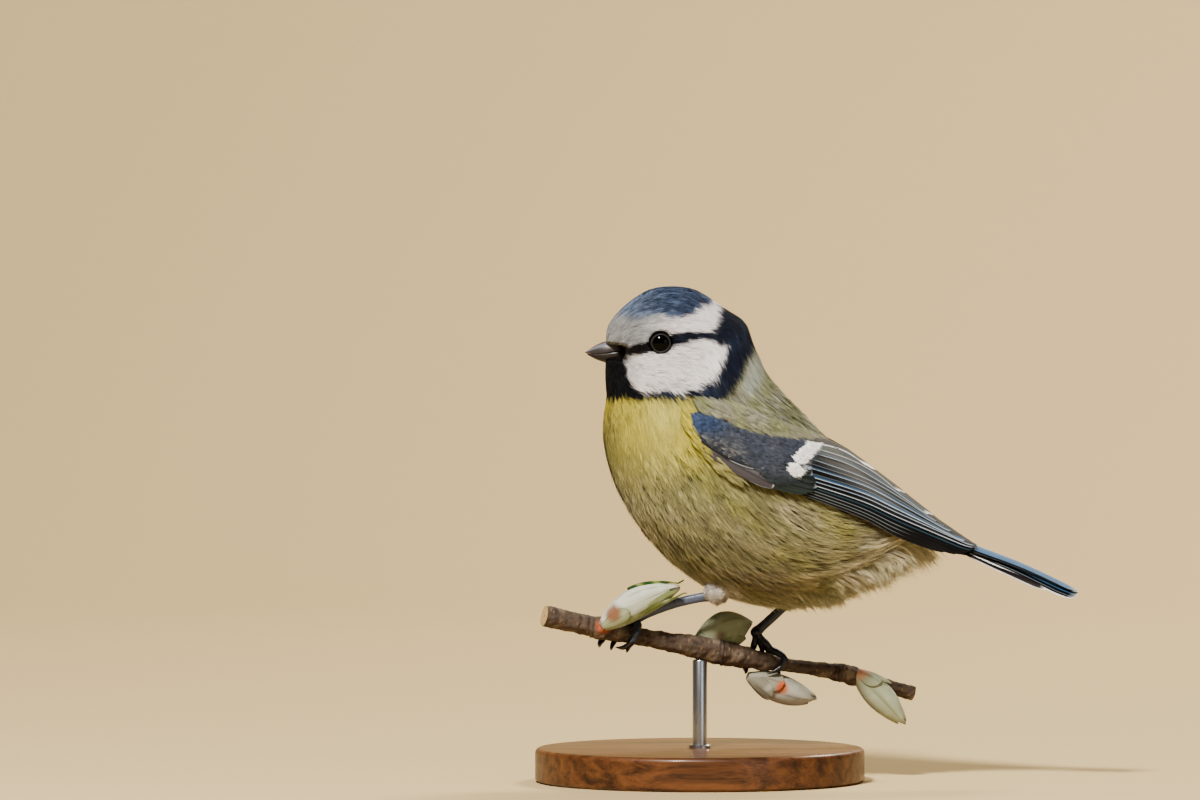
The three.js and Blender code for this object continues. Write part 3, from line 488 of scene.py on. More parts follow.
def coat(name, t, a, length, blades, width, spread, lift=0.15, slot="body_plumage", tip_light=0.12, stations=2, drift=0.0, colour=None, shade=0.10, stray=0.0, depth_scale=1.0, gather=0.0, cleft=0.0, fine=0.5, contrast=0.0, tone_by_light=False, comb=None):
    """Tufts with their roots at (t, a). Each tuft is a fan of blades that rise through the coat and lie back along it."""
    n = len(t)
    e = 2e-3
    base = body_point(t, a)
    dt = (body_point(np.clip(t + e, 0, 1), a) - body_point(np.clip(t - e, 0, 1), a)) / (np.clip(t + e, 0, 1) - np.clip(t - e, 0, 1))[:, None]
    da = (body_point(t, a + e) - body_point(t, a - e)) / (2 * e)
    lt, la = np.linalg.norm(dt, axis=1), np.maximum(np.linalg.norm(da, axis=1), 0.8)
    normal = unit(np.cross(da, dt))
    normal *= np.sign((normal * (base - np.array([8.0, 0, 65.0]))).sum(1) + 1e-9)[:, None]
    depth = coat_depth(t, a) * depth_scale
    length = np.broadcast_to(np.asarray(length, float), (n,)) * rng.uniform(0.8, 1.2, n)
    drift = np.broadcast_to(np.asarray(drift, float), (n,)) + rng.normal(0, 0.10, n)
    rise = lift * rng.uniform(-0.4, 1.3, n)
    furrow = 0.65 * streaks(t, a, fine, 3.6, 1.0) + 0.5 * streaks(t, a, fine * 2.6, 7.0, 2.0)
    rise = rise + cleft * furrow
    tone = rng.normal(0, shade, n) + contrast * furrow
    lie, turn = np.ones(n), np.zeros(n)
    if comb is not None:
        et, ea = unit(dt), unit(da)
        want, w = comb(base)
        d = unit(et * (1 - w)[:, None] + want * w[:, None])
        g, dt1, da1 = (et * ea).sum(1), (d * et).sum(1), (d * ea).sum(1)
        lie, turn = (dt1 - g * da1) / np.maximum(0.3, 1 - g * g), (da1 - g * dt1) / np.maximum(0.3, 1 - g * g)
    # blades
    N = n * blades
    r = np.repeat(np.arange(n), blades)
    s = np.tile(np.linspace(-1, 1, blades) if blades > 1 else np.zeros(1), n) + rng.normal(0, 0.18, N)
    L = length[r] * (1 - 0.22 * s * s) * rng.uniform(0.85, 1.1, N)
    jt, ja = rng.normal(0, 0.10, N), rng.normal(0, 0.12, N)
    fan = s * spread
    up = rise[r] * (1 - 0.5 * s * s) + rng.normal(0, 0.04, N)
    if stray:
        odd = rng.random(N) < stray
        L = np.where(odd, L * 1.35, L)
        up = np.where(odd, up + 0.35, up)
    T, A, LT, LA, D = t[r], a[r], lt[r], la[r], depth[r]

    def path(l):
        along = L * l * lie[r] + jt
        lock = (1 - gather) * (0.12 + 0.88 * l**0.8) + gather * (0.45 + 1.25 * l - 1.5 * l * l)
        across = ja * (1 - gather * l) + fan * lock + (drift + turn)[r] * L * l
        inset = D * (1 - l) ** 1.8 * 0.9 - up * l ** 1.5 + 0.05
        return body_point(np.clip(T + along / LT, 0, 1), A + across / LA, inset)

    lateral = unit(da)[r]
    roll = rng.normal(0, 0.35, N)[:, None]
    lateral = unit(lateral * np.cos(roll) + normal[r] * np.sin(roll))
    v, faces, places = strands(r, path, lateral, np.full(N, width) * rng.uniform(0.75, 1.25, N), [1.0, 0.85, 0.6][:stations], stations)
    d, hollow = eye_hollow(v)
    v[..., 1] -= np.sign(v[..., 1]) * hollow * 0.9
    v = bill_room(v)
    root_at = body_point(np.clip(t + (0.45 * length * lie + rng.normal(0, 0.15, n)) / lt, 0, 1), a + 0.45 * length * turn / la)
    c = (colour or body_colour)(root_at)
    if tone_by_light:
        tone = tone * np.clip(1.25 - 1.15 * np.sqrt(c.mean(1)), 0.25, 1)
        blue = np.clip((c[:, 2] - c[:, 0]) * 9, 0, 1) * np.clip(furrow + rng.normal(0.05, 0.35, n), 0, 1)
        c = c + blue[:, None] * np.array([0.10, 0.135, 0.19])
    # painted shade: with gather, the middle blades of a tuft are lighter and the side blades darker, for the shade at
    # the sides of each lock
    c = c[r] * np.maximum(0.15, 1 + tone[r] + rng.normal(0, 0.07, N) + gather * (0.16 - 0.30 * np.abs(s)))[:, None]
    grey = c.mean(1, keepdims=True)
    c = c + (grey - c) * rng.uniform(0, 0.12, N)[:, None]
    f = places[None, :, None]
    cols = c[:, None, :] * (0.38 + 0.66 * sstep(0.0, 0.65, f)) * (1 + tip_light * (f > 0.95))
    # one small patch of the bake's map for each tuft, at its root's place on the unwrapped skin
    u0, v0 = (a % (2 * np.pi)) / (2 * np.pi) * 0.994 + 0.003, t * 0.994 + 0.003
    U = u0[r][:, None] + (np.clip(s, -1.3, 1.3) * 0.0011)[:, None] + np.concatenate([np.tile([-0.0001, 0.0001], stations), [0]])[None]
    V = v0[r][:, None] + (places[None] - 0.5) * 0.0028 + 0 * U
    o = make_mesh(name, v.reshape(-1, 3), faces, cols.reshape(-1, 3), np.stack([U, V], -1).reshape(-1, 2), smooth=False)
    return finish_piece(o, MAT["coat"], slot)


LEFT, RIGHT = (0.0, math.pi), (math.pi, 2 * math.pi)
HEAD_END = 0.5


def keep_face(t, a, p):
    d = np.hypot(p[..., 0] - EYE["x"], p[..., 2] - EYE["z"])
    clear = np.where((d < 1.88) & (np.abs(p[..., 1]) > 4), 0.0, 1.0)
    # nothing grows where the bill leaves the head
    side = (np.abs(p[..., 2] - 88.7 + 0.10 * (p[..., 0] + 18)) < 1.7 - 0.36 * (p[..., 0] + 18.5)) & (p[..., 0] < -15.6)
    clear = np.where(side, 0.0, clear)
    return clear * (1 + 0.8 * sstep(0.28, 0.05, t))


def count(per_mm2):
    return lambda area: area * per_mm2 * DENSITY




def head_comb(p):
    """On the head the feathers lie away from the bill, then straight back over cheek and brow."""
    away = p - np.array([-20.0, 0.0, 88.6])
    away[:, 1] = 0
    near = np.exp(-np.linalg.norm(away, axis=1) / 9.0)[:, None]
    want = unit(unit(away) * near + np.array([1.0, 0, -0.08]) * (1 - near))
    w = 0.9 * sstep(4.0, -3.0, p[:, 0]) * sstep(99.5, 96.0, p[:, 2]) * sstep(79.0, 83.0, p[:, 2]) * sstep(2.5, 5.5, np.abs(p[:, 1]))
    return want, w


even = lambda t, a, p: 1.0 + 0 * t
low_rear = lambda t, a, p: sstep(0.80, 0.90, t) * sstep(0.55, 0.95, (1 - np.cos(a)) / 2)
for tag, (lo, hi) in (("left", LEFT), ("right", RIGHT)):
    t, a = roots_on_body(count(13.0), keep_face, 0.004, 0.30, lo, hi)
    coat("coat_face_" + tag, t, a, 0.7 + 1.5 * sstep(0.0, 0.26, t), 4, 0.10, 0.15, 0.06, "head_plumage", shade=0.26, contrast=0.50, cleft=0.08, fine=0.30, tone_by_light=True, comb=head_comb)
    t, a = roots_on_body(count(10.0), keep_face, 0.29, 0.55, lo, hi)
    coat("coat_neck_" + tag, t, a, 2.3 + 1.4 * sstep(0.3, 0.55, t), 5, 0.11, 0.30, 0.10, "head_plumage", shade=0.20, gather=0.4, contrast=0.36, cleft=0.12, fine=0.4, tone_by_light=True, comb=head_comb)
    t, a = roots_on_body(count(2.4), even, 0.53, 0.74, lo, hi)
    coat("coat_breast_" + tag, t, a, 4.2, 13, 0.13, 0.55, 0.28, stray=0.03, shade=0.17, gather=0.8, cleft=0.26, contrast=0.34, tip_light=0.30, fine=0.42)
    t, a = roots_on_body(count(2.4), even, 0.73, 0.985, lo, hi)
    coat("coat_belly_" + tag, t, a, 5.0, 13, 0.13, 0.62, 0.34, stray=0.05, shade=0.19, gather=0.8, cleft=0.36, contrast=0.42, tip_light=0.36)
    t, a = roots_on_body(count(0.55), lambda t, a, p: sstep(0.50, 0.62, t) * (0.25 + 0.75 * sstep(0.2, 0.6, (1 - np.cos(a)) / 2)), 0.5, 0.97, lo, hi)
    coat("coat_wisps_" + tag, t, a, 5.2, 5, 0.085, 0.42, 0.55, stray=0.12, shade=0.14, gather=0.7, cleft=0.2, contrast=0.15, tip_light=0.35, stations=3, colour=lambda p: body_colour(p) * 1.12 + 0.02)
    t, a = roots_on_body(count(2.2), low_rear, 0.78, 0.985, lo, hi)
    coat("coat_fringe_" + tag, t, a, 6.2, 7, 0.09, 0.6, 1.5, stray=0.2, shade=0.14, gather=0.6, tip_light=0.3, stations=3, colour=lambda p: body_colour(p) * 1.15 + 0.03)



def plumes(name, side, count_, boxes, ends, length, colour, width=0.12, blades=9, spread=0.5):
    """Longer loose locks from a patch of the trunk towards a point, for the ragged vent and lower belly."""
    n = int(count_ * DENSITY)
    (t0, t1), (a0, a1) = boxes
    t, a = rng.uniform(t0, t1, n), rng.uniform(a0, a1, n)
    a = a if side == "left" else 2 * np.pi - a
    root = body_point(t, a, 0.5)
    e = 2e-3
    way = unit(body_point(np.clip(t + e, 0, 1), a) - body_point(t - e, a))
    aim = np.asarray(ends) * np.array([1, -1 if side == "left" else 1, 1])
    to = unit(aim - root)
    L = rng.uniform(length[0], length[1], n)
    r = np.repeat(np.arange(n), blades)
    N = len(r)
    s = np.tile(np.linspace(-1, 1, blades), n) + rng.normal(0, 0.2, N)
    jit = rng.normal(0, 0.12, (n, 3))[r]
    Lb = L[r] * (1 - 0.25 * s * s) * rng.uniform(0.75, 1.1, N)
    lateral = unit(np.cross(to, np.array([0, 1.0, 0]) + rng.normal(0, 0.25, (n, 3))))

    def path(l):
        d = unit(way[r] * (1 - l) + (to[r] + jit) * (0.35 + l))
        return root[r] + d * (l * Lb)[:, None] + lateral[r] * (s * spread * (0.45 + 1.3 * l - 1.45 * l * l))[:, None]

    v, faces, places = strands(r, path, lateral[r], np.full(N, width) * rng.uniform(0.7, 1.2, N), [1.0, 0.8, 0.5], 3)
    c = colour(root) * (1 + rng.normal(0, 0.14, n))[:, None]
    # painted shade: the middle blades of each lock are lighter and the side blades darker
    c = c[r] * np.maximum(0.3, 1 + rng.normal(0, 0.08, N) + 0.16 - 0.30 * np.abs(s))[:, None]
    cols = c[:, None] * (0.5 + 0.62 * sstep(0, 0.8, places[None, :, None]))
    u0, v0 = (a % (2 * np.pi)) / (2 * np.pi) * 0.994 + 0.003, t * 0.994 + 0.003
    U = u0[r][:, None] + (np.clip(s, -1.3, 1.3) * 0.0011)[:, None] + np.concatenate([np.tile([-0.0001, 0.0001], 3), [0]])[None]
    V = v0[r][:, None] + (places[None] - 0.5) * 0.0028 + 0 * U
    o = make_mesh(name, v.reshape(-1, 3), faces, cols.reshape(-1, 3), np.stack([U, V], -1).reshape(-1, 2), smooth=False)
    return finish_piece(o, MAT["coat"], "body_plumage")


vent_colour = lambda p: blend(body_colour(p), C["vent"] * 0.85, np.full(p.shape[:-1], 0.35)) * 0.95
for side in ("left", "right"):
    plumes("coat_vent_" + side, side, 300, ((0.86, 0.965), (1.7, 3.1)), (54, 1.5, 41.5), (4.5, 9.5), vent_colour)
    plumes("coat_flank_end_" + side, side, 260, ((0.80, 0.92), (1.9, 3.14)), (47, 6, 34), (3.5, 6.0), lambda p: body_colour(p) * 1.05 + 0.02)
    plumes("coat_under_" + side, side, 320, ((0.70, 0.84), (2.3, 3.14)), (36, 6, 28), (2.5, 4.6), lambda p: body_colour(p))

# ------------------------------------------------------------------ wings
# Upper and lower edge of the folded wing in side view, and how far each stands off the middle plane at least.
WING_TOP = np.array([(-1.6, 74.9, 9.0), (4.9, 75.0, 9.0), (12.6, 72.9, 8.0), (22.6, 71.6, 4.6), (26.5, 70.6, 3.0), (30.6, 68.2, 1.9), (40.0, 61.2, 1.3), (49.4, 53.8, 1.1), (56.7, 48.9, 1.0)])
WING_LOW = np.array([(-2.0, 71.4, 9.0), (3.6, 66.4, 9.0), (10.7, 62.3, 12.0), (20.6, 59.6, 12.5), (28.5, 56.3, 12.0), (37.6, 52.2, 9.2), (47.6, 47.4, 6.4), (56.3, 46.4, 3.4)])


def wing_out(x, z, layer=0.0):
    """Distance of the wing's outer face from the middle plane, at a place in side view."""
    zt, zl = np.interp(x, WING_TOP[:, 0], WING_TOP[:, 1]), np.interp(x, WING_LOW[:, 0], WING_LOW[:, 1])
    v = np.clip((zt - z) / np.maximum(0.6, zt - zl), 0, 1)
    free = np.interp(x, WING_TOP[:, 0], WING_TOP[:, 2]) * (1 - v**0.6) + np.interp(x, WING_LOW[:, 0], WING_LOW[:, 2]) * v**0.6
    side = body_side(x, z)
    k = 1.2
    base = k * np.log(np.exp(side / k) + np.exp(free / k))
    edge = np.sin(np.pi * np.clip(v * 0.88 + 0.08, 0, 1)) ** 0.6
    thick = np.interp(x, [-3, 3, 12, 22, 40, 50, 57], [0.1, 0.8, 1.4, 1.5, 1.2, 0.9, 0.5])
    return base + 0.25 + thick * edge + layer


def from_chart(points):
    p = np.asarray(points, float)
    return np.stack([(p[..., 0] - 700) / CHART, (782 - p[..., 1]) / CHART], -1)


def along_line(points, n, ease=1.0):
    """Even steps along a smooth line through points."""
    p = np.asarray(points, float)
    fine = spline(p, np.linspace(0, 1, 200))
    d = np.concatenate([[0], np.cumsum(np.linalg.norm(np.diff(fine, axis=0), axis=1))])
    at = np.linspace(0, 1, n) ** ease * d[-1]
    return np.stack([np.interp(at, d, fine[:, i]) for i in range(p.shape[1])], 1), d[-1]


ACROSS = np.array([0.0, 0.04, 0.06, 0.10, 0.14, 0.18, 0.22, 0.28, 0.36, 0.45, 0.47, 0.6, 0.8, 1.0])


def vane(edge, width, colours, layer, tip=0.12, root=0.2, n=34, camber=0.10, barbs=5.0, surface=wing_out, y_sign=-1):
    """One feather, from its outer edge (the lower one in side view) to its inner edge. edge is in millimetres, x and z."""
    e, length = along_line(edge, n)
    way = unit(np.gradient(e, axis=0))
    up = np.stack([-way[:, 1], way[:, 0]], 1)
    up *= np.sign(up[:, 1:2] + 1e-9)
    l = np.linspace(0, 1, n)
    w = width * (sstep(-root * 0.6, root, l)) * np.where(l > 1 - tip, np.sqrt(np.clip(1 - ((l - 1 + tip) / tip) ** 2, 0.0, 1)), 1)
    c = ACROSS
    lift = (w[:, None] * c)[..., None] * up[:, None]
    # a round tip: the outer edge draws in at the end
    draw = np.where(l > 1 - tip, 1 - np.sqrt(np.clip(1 - ((l - 1 + tip) / tip) ** 2, 0, 1)), 0) * width * 0.35
    p = e[:, None] + lift + (draw[:, None] * up)[:, None]
    x, z = p[..., 0], p[..., 1]
    over = np.maximum(0, z - np.interp(x, WING_TOP[:, 0], WING_TOP[:, 1]) - 0.05)
    z = z - over * 0.88
    y = surface(x, z, layer) - over * 0.55 + camber * np.sin(np.pi * c)[None] * np.minimum(1, w / max(width, 1e-6))[:, None] - 0.10 * c[None]
    ridge = np.exp(-(((c - 0.46) / 0.03) ** 2))[None] * 0.05
    y = y + ridge
    v = np.stack([x, y_sign * y, z], -1).reshape(-1, 3)
    m = len(c)
    i, j = np.meshgrid(np.arange(n - 1), np.arange(m - 1), indexing="ij")
    i, j = i.reshape(-1), j.reshape(-1)
    q = np.stack([i * m + j, i * m + j + 1, (i + 1) * m + j + 1, (i + 1) * m + j], 1)
    if y_sign > 0:
        q = q[:, ::-1]
    L, Cc = np.meshgrid(l, c, indexing="ij")
    col = colours(L, Cc).reshape(-1, 3)
    barb = (L * length * barbs + np.abs(Cc - 0.46) * width * barbs * 1.2).reshape(-1)
    return v, q, col, barb, np.stack([L, Cc], -1).reshape(-1, 2)


def feather_mesh(name, vanes, mat, slot, *replaced):
    """Joins vanes into one mesh, each with a strip of the bake's map."""
    verts, quads, cols, barbs, uvs, base = [], [], [], [], [], 0
    for k, (v, q, c, b, u) in enumerate(vanes):
        verts.append(v)
        quads.append(q + base)
        cols.append(c)
        barbs.append(b)
        uvs.append(np.stack([0.01 + 0.98 * u[:, 0], (k + 0.08 + 0.84 * u[:, 1]) / len(vanes)], 1))
        base += len(v)
    o = make_mesh(name, np.concatenate(verts), np.concatenate(quads), np.concatenate(cols), np.concatenate(uvs), extra={"barb": np.concatenate(barbs)})
    return finish_piece(o, mat, slot, *replaced)


def vane_material(name, rough):
    """Feather vanes: fine barbs run as a soft relief along the 'barb' count."""
    m = material(name, rough=rough, sheen=0.0, spec=0.22)
    nt = m.node_tree
    a = nt.nodes.new("ShaderNodeAttribute")
    a.attribute_name = "barb"
    mul = nt.nodes.new("ShaderNodeMath")
    mul.operation = "MULTIPLY"
    mul.inputs[1].default_value = 2 * math.pi
    sine = nt.nodes.new("ShaderNodeMath")
    sine.operation = "SINE"
    bump = nt.nodes.new("ShaderNodeBump")
    bump.inputs["Strength"].default_value = 0.35
    bump.inputs["Distance"].default_value = 0.00006
    nt.links.new(a.outputs["Fac"], mul.inputs[0])
    nt.links.new(mul.outputs[0], sine.inputs[0])
    nt.links.new(sine.outputs[0], bump.inputs["Height"])
    nt.links.new(bump.outputs["Normal"], nt.nodes["Principled BSDF"].inputs["Normal"])
    return m


MAT["vane"] = vane_material("flight_vane", 0.5)
W = {
    "black": rgb(14, 14, 18), "brown_black": rgb(30, 25, 26), "teal": rgb(58, 84, 98), "blue": rgb(78, 118, 158), "edge": rgb(206, 216, 226),
    "edge_dull": rgb(130, 140, 146), "tertial": rgb(48, 44, 45), "white": rgb(246, 244, 242), "grey": rgb(110, 106, 112), "green_black": rgb(44, 54, 54),
    "cov": rgb(76, 82, 95), "cov_blue": rgb(64, 82, 116), "cov_grey": rgb(94, 97, 106), "cov_dark": rgb(52, 57, 68),
}


def striped(edge, outer, inner, fringe=0.07, band=0.30, tip=None, tip_at=0.93, edge_from=0.0, edge_to=1.0, rachis=None):
    """Colours of one feather: a pale fringe on the outer edge, a tinted outer web, a dark inner web and a tip."""
    def f(L, c):
        col = np.broadcast_to(inner, L.shape + (3,)).copy()
        col = blend(col, outer, sstep(band + 0.05, band - 0.03, c))
        on = sstep(edge_from - 0.05, edge_from + 0.05, L) * sstep(edge_to + 0.06, edge_to - 0.06, L) if edge_to < 1 else sstep(edge_from - 0.05, edge_from + 0.05, L)
        col = blend(col, edge, sstep(fringe + 0.02, fringe - 0.02, c) * on)
        if rachis is not None:
            col = blend(col, rachis, np.exp(-(((c - 0.46) / 0.02) ** 2)) * 0.7)
        if tip is not None:
            col = blend(col, tip, sstep(tip_at - 0.03, tip_at + 0.02, L))
        streak = 0.06 * np.sin(L * 90 + c * 40) + 0.05 * np.sin(L * 41 - c * 23)
        return col * (1 + streak[..., None])
    return f


def wing_feathers(y_sign):
    f = []
    add = lambda pts, width, col, layer, **k: f.append(vane(from_chart(pts), width, col, layer, y_sign=y_sign, **k))
    # primaries, from the lowest: black, with thin dull outer edges
    prim = [
        ([(800, 491), (860, 515), (900, 536.5), (946, 553.5)], 2.2, W["edge_dull"], 0.03),
        ([(800, 489), (860, 512), (900, 533), (958, 556)], 2.4, W["edge_dull"], 0.045),
        ([(801, 486.5), (860, 509), (900, 529), (965, 556)], 2.6, W["edge_dull"], 0.05),
        ([(802, 484), (860, 505.5), (900, 525), (970, 554.5)], 2.6, W["edge_dull"], 0.05),
        ([(802, 481.5), (860, 502), (900, 521), (973, 552.5)], 2.6, W["teal"], 0.06),
        ([(802, 478.5), (860, 498.5), (900, 517), (975.5, 550)], 2.6, W["edge"], 0.05),
    ]
    for k, (pts, w, edge, fr) in enumerate(prim):
        add(pts, w, striped(edge, W["brown_black"] if k < 4 else W["teal"] * 0.55, W["black"], fr, 0.07, edge_from=0.05, edge_to=0.62 if k < 4 else 0.98), 0.05 + 0.07 * k, tip=0.10, root=0.05, camber=0.07)
    # secondaries: blue-grey outer webs with bright edges
    sec = [
        [(801, 474.5), (860, 494), (900, 512.8), (976, 547.6)],
        [(800, 470.5), (860, 490.3), (900, 509.6), (967, 543)],
        [(798, 466.5), (860, 486.6), (900, 506.6), (960, 538.4)],
        [(798, 461.5), (860, 482.4), (900, 503.2), (953, 533.2)],
        [(799, 457), (860, 478.6), (900, 500.2), (946, 528.2)],
        [(800, 452.5), (860, 474.8), (900, 496.8), (938, 523)],
    ]
    outer = [W["blue"] * 0.62, W["blue"], W["teal"] * 0.8, W["blue"] * 0.9, W["teal"] * 0.75, W["teal"]]
    for k, pts in enumerate(sec):
        add(pts, 2.3, striped(W["edge"] * (0.8, 0.9, 0.4, 0.75, 0.4, 0.6)[k], outer[k] * 0.58, W["black"], (0.05, 0.06, 0.035, 0.05, 0.035, 0.045)[k], (0.10, 0.22, 0.08, 0.16, 0.08, 0.12)[k], edge_from=0.02), 0.47 + 0.08 * k, tip=0.07, root=0.05, camber=0.09)
    # tertials, brown-grey with white tips
    add([(802, 447.5), (845, 461.5), (880, 481), (905, 498), (929, 516)], 2.9, striped(W["edge"] * 0.7, W["teal"] * 0.6, W["brown_black"], 0.04, 0.2, W["white"], 0.965), 0.98, tip=0.07, root=0.05)
    add([(806, 443.5), (845, 456.5), (875, 472.5), (900, 493)], 3.0, striped(W["edge"] * 0.7, W["green_black"], W["tertial"], 0.045, 0.34, W["white"], 0.95), 1.08, tip=0.09, root=0.05)
    add([(812, 440.5), (838, 447.8), (856, 457.5), (869, 468)], 3.2, striped(W["edge"], W["brown_black"], W["tertial"], 0.06, 0.22, W["white"], 0.80), 1.18, tip=0.14, root=0.06)
    # primary coverts: dark green-black, two of them with a small pale tip
    for k, pts in enumerate([[(758, 480), (784, 488), (806, 492.5)], [(756, 476), (786, 484.5), (812, 491)], [(758, 471), (788, 479), (814, 487.5)], [(760, 466), (788, 473), (813, 482)], [(762, 461), (788, 467), (810, 475)]]):
        add(pts, 2.3, striped(W["green_black"] * 1.9, W["green_black"] * 1.1, W["green_black"] * 0.6, 0.05, 0.3, W["edge"], 0.985 if k in (2, 4) else 1.2), 0.62 + 0.07 * k, tip=0.34, root=0.1)
    # alula: one broad grey feather with a pale tip, one narrow pale one over it
    add([(700, 446), (724, 463), (750, 478), (768, 486.5), (774, 487)], 3.5, striped(W["edge_dull"] * 1.2, W["grey"] * 0.55, W["grey"] * 0.8, 0.03, 0.42, W["edge"], 0.975, edge_from=0.7, rachis=W["black"]), 0.72, tip=0.30, root=0.5)
    add([(700, 438), (726, 455), (746, 463.5), (763, 467)], 1.7, striped(W["edge_dull"] * 1.4, W["black"] * 2.2, W["cov_dark"] * 0.8, 0.10, 0.3, W["edge"], 0.96, edge_from=0.5), 0.95, tip=0.30, root=0.5)
    return f


def wing_core(side, y_sign):
    """A dark closed piece under the wing's feathers."""
    nx, nv = 60, 12
    x = np.linspace(-0.5, 55.5, nx)[:, None] * np.ones(nv)
    v = np.linspace(0.1, 0.9, nv)[None] * np.ones((nx, 1))
    zt, zl = np.interp(x, WING_TOP[:, 0], WING_TOP[:, 1]), np.interp(x, WING_LOW[:, 0], WING_LOW[:, 1])
    z = zt + (zl - zt) * v
    yo = wing_out(x, z) - 0.12
    yi = np.maximum(0.35, yo - 0.9)
    outer, inner = np.stack([x, y_sign * yo, z], -1), np.stack([x, y_sign * yi, z], -1)
    ring = np.concatenate([outer, inner[:, ::-1]], 1)
    m = 2 * nv
    verts = ring.reshape(-1, 3)
    i, j = np.meshgrid(np.arange(nx - 1), np.arange(m), indexing="ij")
    i, j = i.reshape(-1), j.reshape(-1)
    k = (j + 1) % m
    q = np.stack([i * m + j, i * m + k, (i + 1) * m + k, (i + 1) * m + j], 1)
    j = np.arange(nv - 1)
    e = (nx - 1) * m
    caps = np.concatenate([np.stack([j, m - 1 - j, m - 2 - j, j + 1], 1), np.stack([e + j, e + j + 1, e + m - 2 - j, e + m - 1 - j], 1)])
    if y_sign > 0:
        q, caps = q[:, ::-1], caps[:, ::-1]
    px = 700 + verts[:, 0] * CHART
    col = blend(np.broadcast_to(W["black"], verts.shape), W["cov_dark"] * 0.7, sstep(800, 780, px))
    o = make_mesh("wing_core_" + side, verts, [np.concatenate([q, caps])], col)
    return finish_piece(o, MAT["skin"], "wing_feathers", "wing_" + side)


COVERTS = [(693, 412), (704, 411), (716, 415), (724, 419), (740, 426), (757, 431), (784, 435.5), (806, 438), (823, 440), (818, 449), (809, 458), (806, 464), (800, 471), (792, 477), (780, 480), (768, 477), (761, 468), (750, 462), (736, 456), (720, 448), (706, 440), (696, 428)]
BAR = [[(822, 441.5), (809, 440.5), (800, 447), (793, 455), (797, 460), (805, 458), (812, 450)], [(790, 460), (796, 461), (802, 466), (799, 472), (792, 472), (788, 467)]]
COMMAS = [[(801, 459), (807, 463), (811, 472), (808, 476), (805, 467)], [(809, 481), (813, 483), (813, 490), (809, 490)]]


def covert_colour(x, z):
    p = np.stack([x, 0 * x, z], -1)
    px, py = chart(p)
    px, py = px + 0.9 * wobble(p, 0.8, 2.2), py + 0.9 * wobble(p, 0.7, 5.1)
    w1, w2 = wobble(p, 2.4, 1.3), wobble(p, 1.0, 4.2)
    c = np.broadcast_to(W["cov"], x.shape + (3,)).copy()
    c = blend(c, W["cov_grey"], sstep(-0.2, 0.9, w1) * 0.6)
    c = blend(c, W["cov_dark"], sstep(0.1, 0.9, w2 - 0.3 * w1) * 0.5)
    c = blend(c, W["cov_blue"], sstep(735, 705, px) * sstep(436, 420, py) * 0.85)
    stripes = 0.5 + 0.5 * np.sin((py - 0.62 * px) * 1.5 + 2.0 * w1)
    c = blend(c, rgb(142, 138, 124), sstep(424, 436, py - (px - 700) * 0.35) * sstep(756, 730, px) * sstep(0.45, 0.9, stripes) * 0.5)
    c = blend(c, rgb(40, 40, 42), sstep(428, 440, py - (px - 700) * 0.35) * sstep(756, 730, px) * sstep(0.5, 0.1, stripes) * 0.6)
    c = blend(c, W["green_black"] * 1.3, sstep(466, 474, py - (px - 780) * 0.15) * sstep(745, 765, px) * 0.6)
    for shape in BAR:
        c = blend(c, W["white"], inside(px, py, shape, 1.6))
    for shape in COMMAS:
        c = blend(c, W["edge"], inside(px, py, shape, 1.0) * 0.9)
    return c


